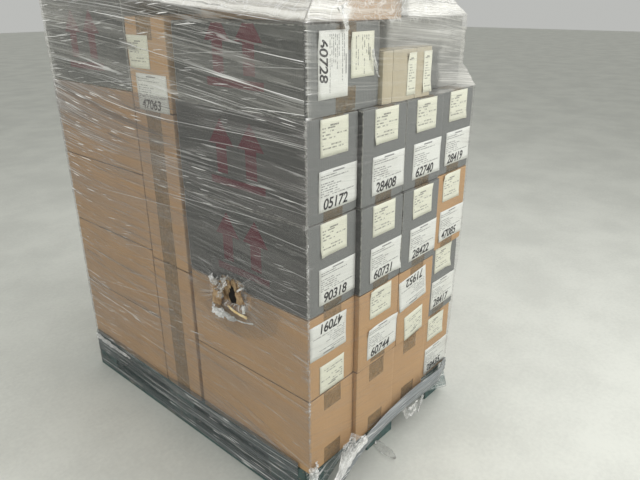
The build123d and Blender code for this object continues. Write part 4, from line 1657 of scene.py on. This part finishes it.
def crumpled_patch(mesh, size, place, seed, relief, segments=46, milk=0.3, coarse=3.2):
    """A crumpled piece of film: a grid bent by sharp folds, then put in its place by a function."""
    uv_layer, pull_layer, milk_layer, _ = film_layers(mesh)
    for vert in bmesh.ops.create_grid(mesh, x_segments=segments, y_segments=segments, size=0.5)["verts"]:
        a, b = vert.co.x, vert.co.y
        spot = Vector((a * coarse, b * coarse, seed))
        fold = sum(share * crest(noise.noise(spot * scale)) for share, scale in CRUMPLES)
        vert[pull_layer] = 0.7
        vert[milk_layer] = milk
        lay_map(vert, uv_layer, a * size[0] + seed, b * size[1])
        vert.co = place(a, b, fold * relief)


class LOAD_OT_ends(bpy.types.Operator):
    """Lay out the film's loose ends: the loop on the floor, bunches at the corner, and the tear's rim"""

    bl_idname = "load.ends"
    bl_label = "Loose film"

    def execute(self, context):
        self.tail()
        self.bunches()
        self.around_tear()
        self.scraps()
        return {"FINISHED"}

    def tail(self):
        """The loop of film on the floor, broad at one end and milky round its rim."""
        low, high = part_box("film_floor_tail")
        middle = (low + high) / 2
        size = high - low

        def place(a, b, fold):
            share = b + 0.5
            wide = 0.006 + 0.032 * math.sin(math.pi * (0.10 + 0.82 * (1 - share))) ** 1.3
            ragged = 1 + 0.10 * uneven(a * 3, b * 7, 4)
            x = low.x + 0.006 + 0.022 * share + a * wide * ragged
            y = middle.y + b * size.y
            rim = smooth(max(abs(a), abs(b)), 0.36, 0.48)
            return Vector((x, y, FLOOR_Z + 0.0012 + max(0.0, fold) * (0.35 + 0.65 * rim)))

        mesh = bmesh.new()
        crumpled_patch(mesh, size, place, 3.7, 0.012, milk=0.05)
        _, pull_layer, milk_layer, crumple_layer = film_layers(mesh)
        side = math.isqrt(len(mesh.verts))
        for index, vert in enumerate(mesh.verts):
            off_rim = min(index % side, side - 1 - index % side, index // side, side - 1 - index // side)
            rim = smooth(off_rim, 5, 1)
            vert[pull_layer] = 0.3
            vert[milk_layer] += 0.40 * rim
            vert[crumple_layer] = 0.10 + 0.60 * rim
        area = sum(face.calc_area() for face in mesh.faces)
        piece = film_piece("film_tail_on_floor", mesh, "loose", "film_floor_tail")

    def bunches(self):
        """Film bunched at the near corner's foot, two small knots up its edge, and crumples on the front."""
        gap = bpy.context.scene.load_film.gap
        mesh = bmesh.new()

        def at_foot(a, b, fold):
            angle = math.pi * (0.15 + 0.75 * (a + 0.5)) + math.pi
            reach = 0.010 + fold
            x = LEFT + 0.006 + math.cos(angle) * reach
            y = FRONT + 0.004 + math.sin(angle) * reach
            return Vector((x, y, DECK_TOP + 0.012 + b * 0.05))

        crumpled_patch(mesh, (0.08, 0.05), at_foot, 8.1, 0.016, 30, 0.5)
        for level in (0.262, 0.240):
            def knot(a, b, fold, level=level):
                angle = 2 * math.pi * (a + 0.5)
                reach = (0.0016 + fold) * math.cos(b * math.pi * 0.9)
                x = LEFT - gap + math.cos(angle) * reach
                y = FRONT - gap + math.sin(angle) * reach
                return Vector((x, y, DECK_TOP + level + b * 0.009))

            crumpled_patch(mesh, (0.02, 0.02), knot, level * 40, 0.0024, 16, 0.25)
        hanging = (
            ((0.124, 1.266), (0.034, 0.058), 0.35, 0.80),
            ((0.247, 1.157), (0.006, 0.074), 0.38, 0.95),
            ((0.485, -0.052), (0.030, 0.100), 0.43, 0.30),
            ((0.590, -0.080), (0.022, 0.066), -0.36, 0.30),
            ((0.540, -0.078), (0.090, 0.050), 0.15, 0.03),
        )
        for number, (where, size, tilt, milk) in enumerate(hanging):
            def hang(a, b, fold, where=where, size=size, tilt=tilt):
                taper = 0.35 + 0.65 * (b + 0.5)
                along, up = turned(a * size[0] * taper, b * size[1], tilt)
                return Vector((LEFT + where[0] + along, FRONT - gap - 0.002 - max(0.0, fold),
                               DECK_TOP + where[1] + up))

            crumpled_patch(mesh, size, hang, 30 + number, 0.009, 30, milk, 2.0)
        film_piece("film_corner_bunches", mesh, "bunched")

    def around_tear(self):
        """The film drawn toward the tear: creases that run out from it, and a thin curled edge inside it."""
        gap = bpy.context.scene.load_film.gap
        mesh = bmesh.new()
        uv_layer, pull_layer, milk_layer, crumple_layer = film_layers(mesh)
        bmesh.ops.create_grid(mesh, x_segments=RIM_FACES[0], y_segments=RIM_FACES[1], size=0.5)
        middle = Vector((LEFT, FRONT + TEAR_MIDDLE[0], DECK_TOP + TEAR_MIDDLE[1]))
        outline = [Vector((0, a - TEAR_MIDDLE[0], b - TEAR_MIDDLE[1])) for a, b in TEAR]
        for vert in mesh.verts:
            turn, share = (vert.co.x + 0.5) * len(outline), vert.co.y + 0.5
            index = int(turn) % len(outline)
            edge = outline[index].lerp(outline[(index + 1) % len(outline)], turn - int(turn))
            angle = vert.co.x * 2 * math.pi
            spot = Vector((math.cos(angle), math.sin(angle), 0))
            inner = 0.62 + 0.25 * noise.noise(spot * 2.6)
            reach = inner + (2.3 - inner) * share ** 1.5
            folds = crest(noise.noise(spot * 5.5 + Vector((0, 0, reach * 0.35))))
            sharp = crest(noise.noise(spot * 13 + Vector((0, 0, reach * 0.5))))
            fade = smooth(reach, 2.3, 1.15)
            curl = smooth(reach, 1.10, inner)
            point = middle + edge * reach
            lift = 0.0008 + (0.5 + folds) * 0.0035 * fade + sharp * 0.002 * fade
            point.x = LEFT - gap - 0.0008 - lift - curl * (0.007 + 0.010 * folds) + 0.020 * curl ** 3
            point.z += 0.006 * curl * noise.noise(spot * 6 + Vector((0, 0, 4)))
            vert.co = point
            sideways = abs(edge.y) / edge.length
            vert[pull_layer] = fade * (0.15 + 0.65 * sideways ** 2 + 0.20 * curl)
            vert[milk_layer] = fade * (0.08 + 0.16 * curl + 0.45 * max(0.0, folds) * curl)
            vert[crumple_layer] = 0.30 * smooth(reach, 1.20, 0.85)
            lay_map(vert, uv_layer, reach * 0.09, angle / (2 * math.pi) * 1.1)
        film_piece("film_drawn_to_tear", mesh, "around_tear")

    def scraps(self):
        """Torn flaps of board, a split strip of tape, and white crumples of film in the tear."""
        board, golden, film = bmesh.new(), bmesh.new(), bmesh.new()
        pieces = (
            (board, (0.362, 0.480), (0.038, 0.048), 0.12, 0.010, 0.007, 0.0),
            (board, (0.262, 0.503), (0.026, 0.036), -0.35, 0.005, 0.007, 0.0),
            (golden, (0.279, 0.453), (0.086, 0.0085), 0.12, 0.008, 0.001, 0.0),
            (film, (0.352, 0.438), (0.056, 0.028), 0.22, 0.013, 0.018, 0.85),
            (film, (0.310, 0.436), (0.060, 0.020), 0.25, 0.011, 0.014, 0.38),
            (film, (0.341, 0.507), (0.026, 0.052), 0.30, 0.008, 0.012, 0.12),
            (film, (0.322, 0.540), (0.020, 0.026), -0.40, 0.009, 0.010, 0.30),
            (film, (0.369, 0.534), (0.034, 0.022), 0.85, 0.010, 0.012, 0.32),
            (film, (0.247, 0.473), (0.013, 0.027), 0.10, 0.007, 0.004, 0.90),
            (film, (0.252, 0.431), (0.085, 0.004), -0.16, 0.008, 0.002, 0.55),
            (film, (0.262, 0.530), (0.030, 0.006), -0.70, 0.009, 0.002, 0.60),
        )
        gap = bpy.context.scene.load_film.gap
        for number, (mesh, where, size, tilt, out, relief, milk) in enumerate(pieces):
            def place(a, b, fold, number=number, where=where, size=size, tilt=tilt, out=out):
                ragged = 1 + 0.22 * uneven(a * 6, b * 6, number * 5)
                along, up = turned(a * size[0] * ragged, b * size[1] * ragged, tilt)
                curl = out * (1 - (2 * a) ** 2 * 0.7)
                off = gap + 0.001 + curl + fold
                return Vector((LEFT - off, FRONT + where[0] + along, DECK_TOP + where[1] + up))

            crumpled_patch(mesh, size, place, number * 3.3 + 1, relief, 34, milk, 2.4)
        film_piece("torn_board_flaps", board, "torn", back="torn", slot="brown_board", thickness=0.0012)
        film_piece("torn_board_edge", golden, "raw_edge", back="raw_edge", slot="brown_board",
                   thickness=0.0008)
        film_piece("film_tear_crumples", film, "tear_film")


class LOAD_OT_stage(bpy.types.Operator):
    """Set out the plain floor, the soft lamps and the camera"""

    bl_idname = "load.stage"
    bl_label = "Stage"

    def execute(self, context):
        scene = context.scene
        settings = scene.load_stage
        self.floor(settings)
        self.world(scene)
        self.lamp("front_lamp", (0.9, -2.9, 2.6), (0, -0.6, 0.7), 2.4, settings.front_lamp)
        self.lamp("side_lamp", (-3.2, 0.2, 2.4), (-0.4, 0, 0.7), 2.4, settings.side_lamp)
        self.lamp("top_lamp", (0.3, -0.4, 4.2), (0, 0, 0.5), 3.0, settings.top_lamp)
        self.camera(scene)
        scene.view_settings.view_transform = "Standard"
        return {"FINISHED"}

    def floor(self, settings):
        """A pale concrete floor, a little cloudy."""
        mesh = bmesh.new()
        bmesh.ops.create_grid(mesh, x_segments=1, y_segments=1, size=30)
        floor = new_object("floor", to_data("floor", mesh))
        material, tree, shader = new_material("floor")
        cloud = tree.noise(tree.coords(), 2.2, 5, 0.6)
        speck = tree.noise(tree.coords(), 60, 3, 0.6)
        shade = tree.plus(tree.times(cloud, 0.7), tree.times(speck, 0.3))
        dark = (*(value * 0.86 for value in settings.floor[:3]), 1.0)
        tree.fill(shader, Base_Color=tree.blend(tree.steps(shade, 0.35, 0.65), dark, tuple(settings.floor)),
                  Roughness=0.6)
        floor.data.materials.append(material)

    def world(self, scene):
        """Even light from all round."""
        world = bpy.data.worlds.new("room")
        world.use_nodes = True
        scene.world = world
        back = world.node_tree.nodes["Background"]
        back.inputs["Color"].default_value = (0.90, 0.91, 0.88, 1)
        back.inputs["Strength"].default_value = 0.55

    def lamp(self, name, place, aim, size, power):
        """A soft square lamp that points at a place."""
        data = bpy.data.lights.new(name, "AREA")
        data.energy = power
        data.size = size
        lamp = new_object(name, data)
        lamp.location = place
        lamp.rotation_euler = (Vector(aim) - Vector(place)).to_track_quat("-Z", "Y").to_euler()

    def camera(self, scene):
        """The camera at the photograph's place and angle."""
        data = bpy.data.cameras.new("camera")
        data.sensor_width = SENSOR_WIDTH
        data.lens = FOCAL_PIXELS * SENSOR_WIDTH / PICTURE_WIDTH
        camera = new_object("camera", data)
        camera.matrix_world = (
            Matrix.Translation(Vector((LEFT, FRONT, DECK_TOP)) + Vector(CAMERA_FROM_CORNER))
            @ Matrix.Rotation(-math.radians(CAMERA_YAW), 4, "Z")
            @ Matrix.Rotation(math.radians(90 - CAMERA_PITCH), 4, "X")
            @ Matrix.Rotation(math.radians(CAMERA_ROLL), 4, "Z")
        )
        scene.camera = camera


class LOAD_PT_panel(bpy.types.Panel):
    """Sizes, colours and steps of the load"""

    bl_idname = "LOAD_PT_panel"
    bl_label = "Wrapped pallet load"
    bl_space_type = "VIEW_3D"
    bl_region_type = "UI"
    bl_category = "Load"

    def draw(self, context):
        for name, settings in SETTINGS.items():
            box = self.layout.box()
            box.label(text=settings.__doc__)
            for key in settings.__annotations__:
                box.prop(getattr(context.scene, name), key)
        for operator in OPERATORS:
            self.layout.operator(operator.bl_idname)


SETTINGS = {
    "load_board": BoardSettings,
    "load_film": FilmSettings,
    "load_labels": LabelSettings,
    "load_pallet": PalletSettings,
    "load_stage": StageSettings,
}
OPERATORS = (
    LOAD_OT_stage,
    LOAD_OT_pallet,
    LOAD_OT_cartons,
    LOAD_OT_tape,
    LOAD_OT_labels,
    LOAD_OT_wrap,
    LOAD_OT_top,
    LOAD_OT_skirts,
    LOAD_OT_band,
    LOAD_OT_ends,
)
CLASSES = (*SETTINGS.values(), *OPERATORS, LOAD_PT_panel)


def register():
    for item in CLASSES:
        bpy.utils.register_class(item)
    for name, settings in SETTINGS.items():
        setattr(bpy.types.Scene, name, PointerProperty(type=settings))


def unregister():
    for name in SETTINGS:
        delattr(bpy.types.Scene, name)
    for item in reversed(CLASSES):
        bpy.utils.unregister_class(item)


def write_size():
    """Bring the scene up to date."""
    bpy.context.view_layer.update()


def main():
    register()
    for operator in OPERATORS:
        family, step = operator.bl_idname.split(".")
        getattr(getattr(bpy.ops, family), step)()
    write_size()


if __name__ == "__main__":
    main()
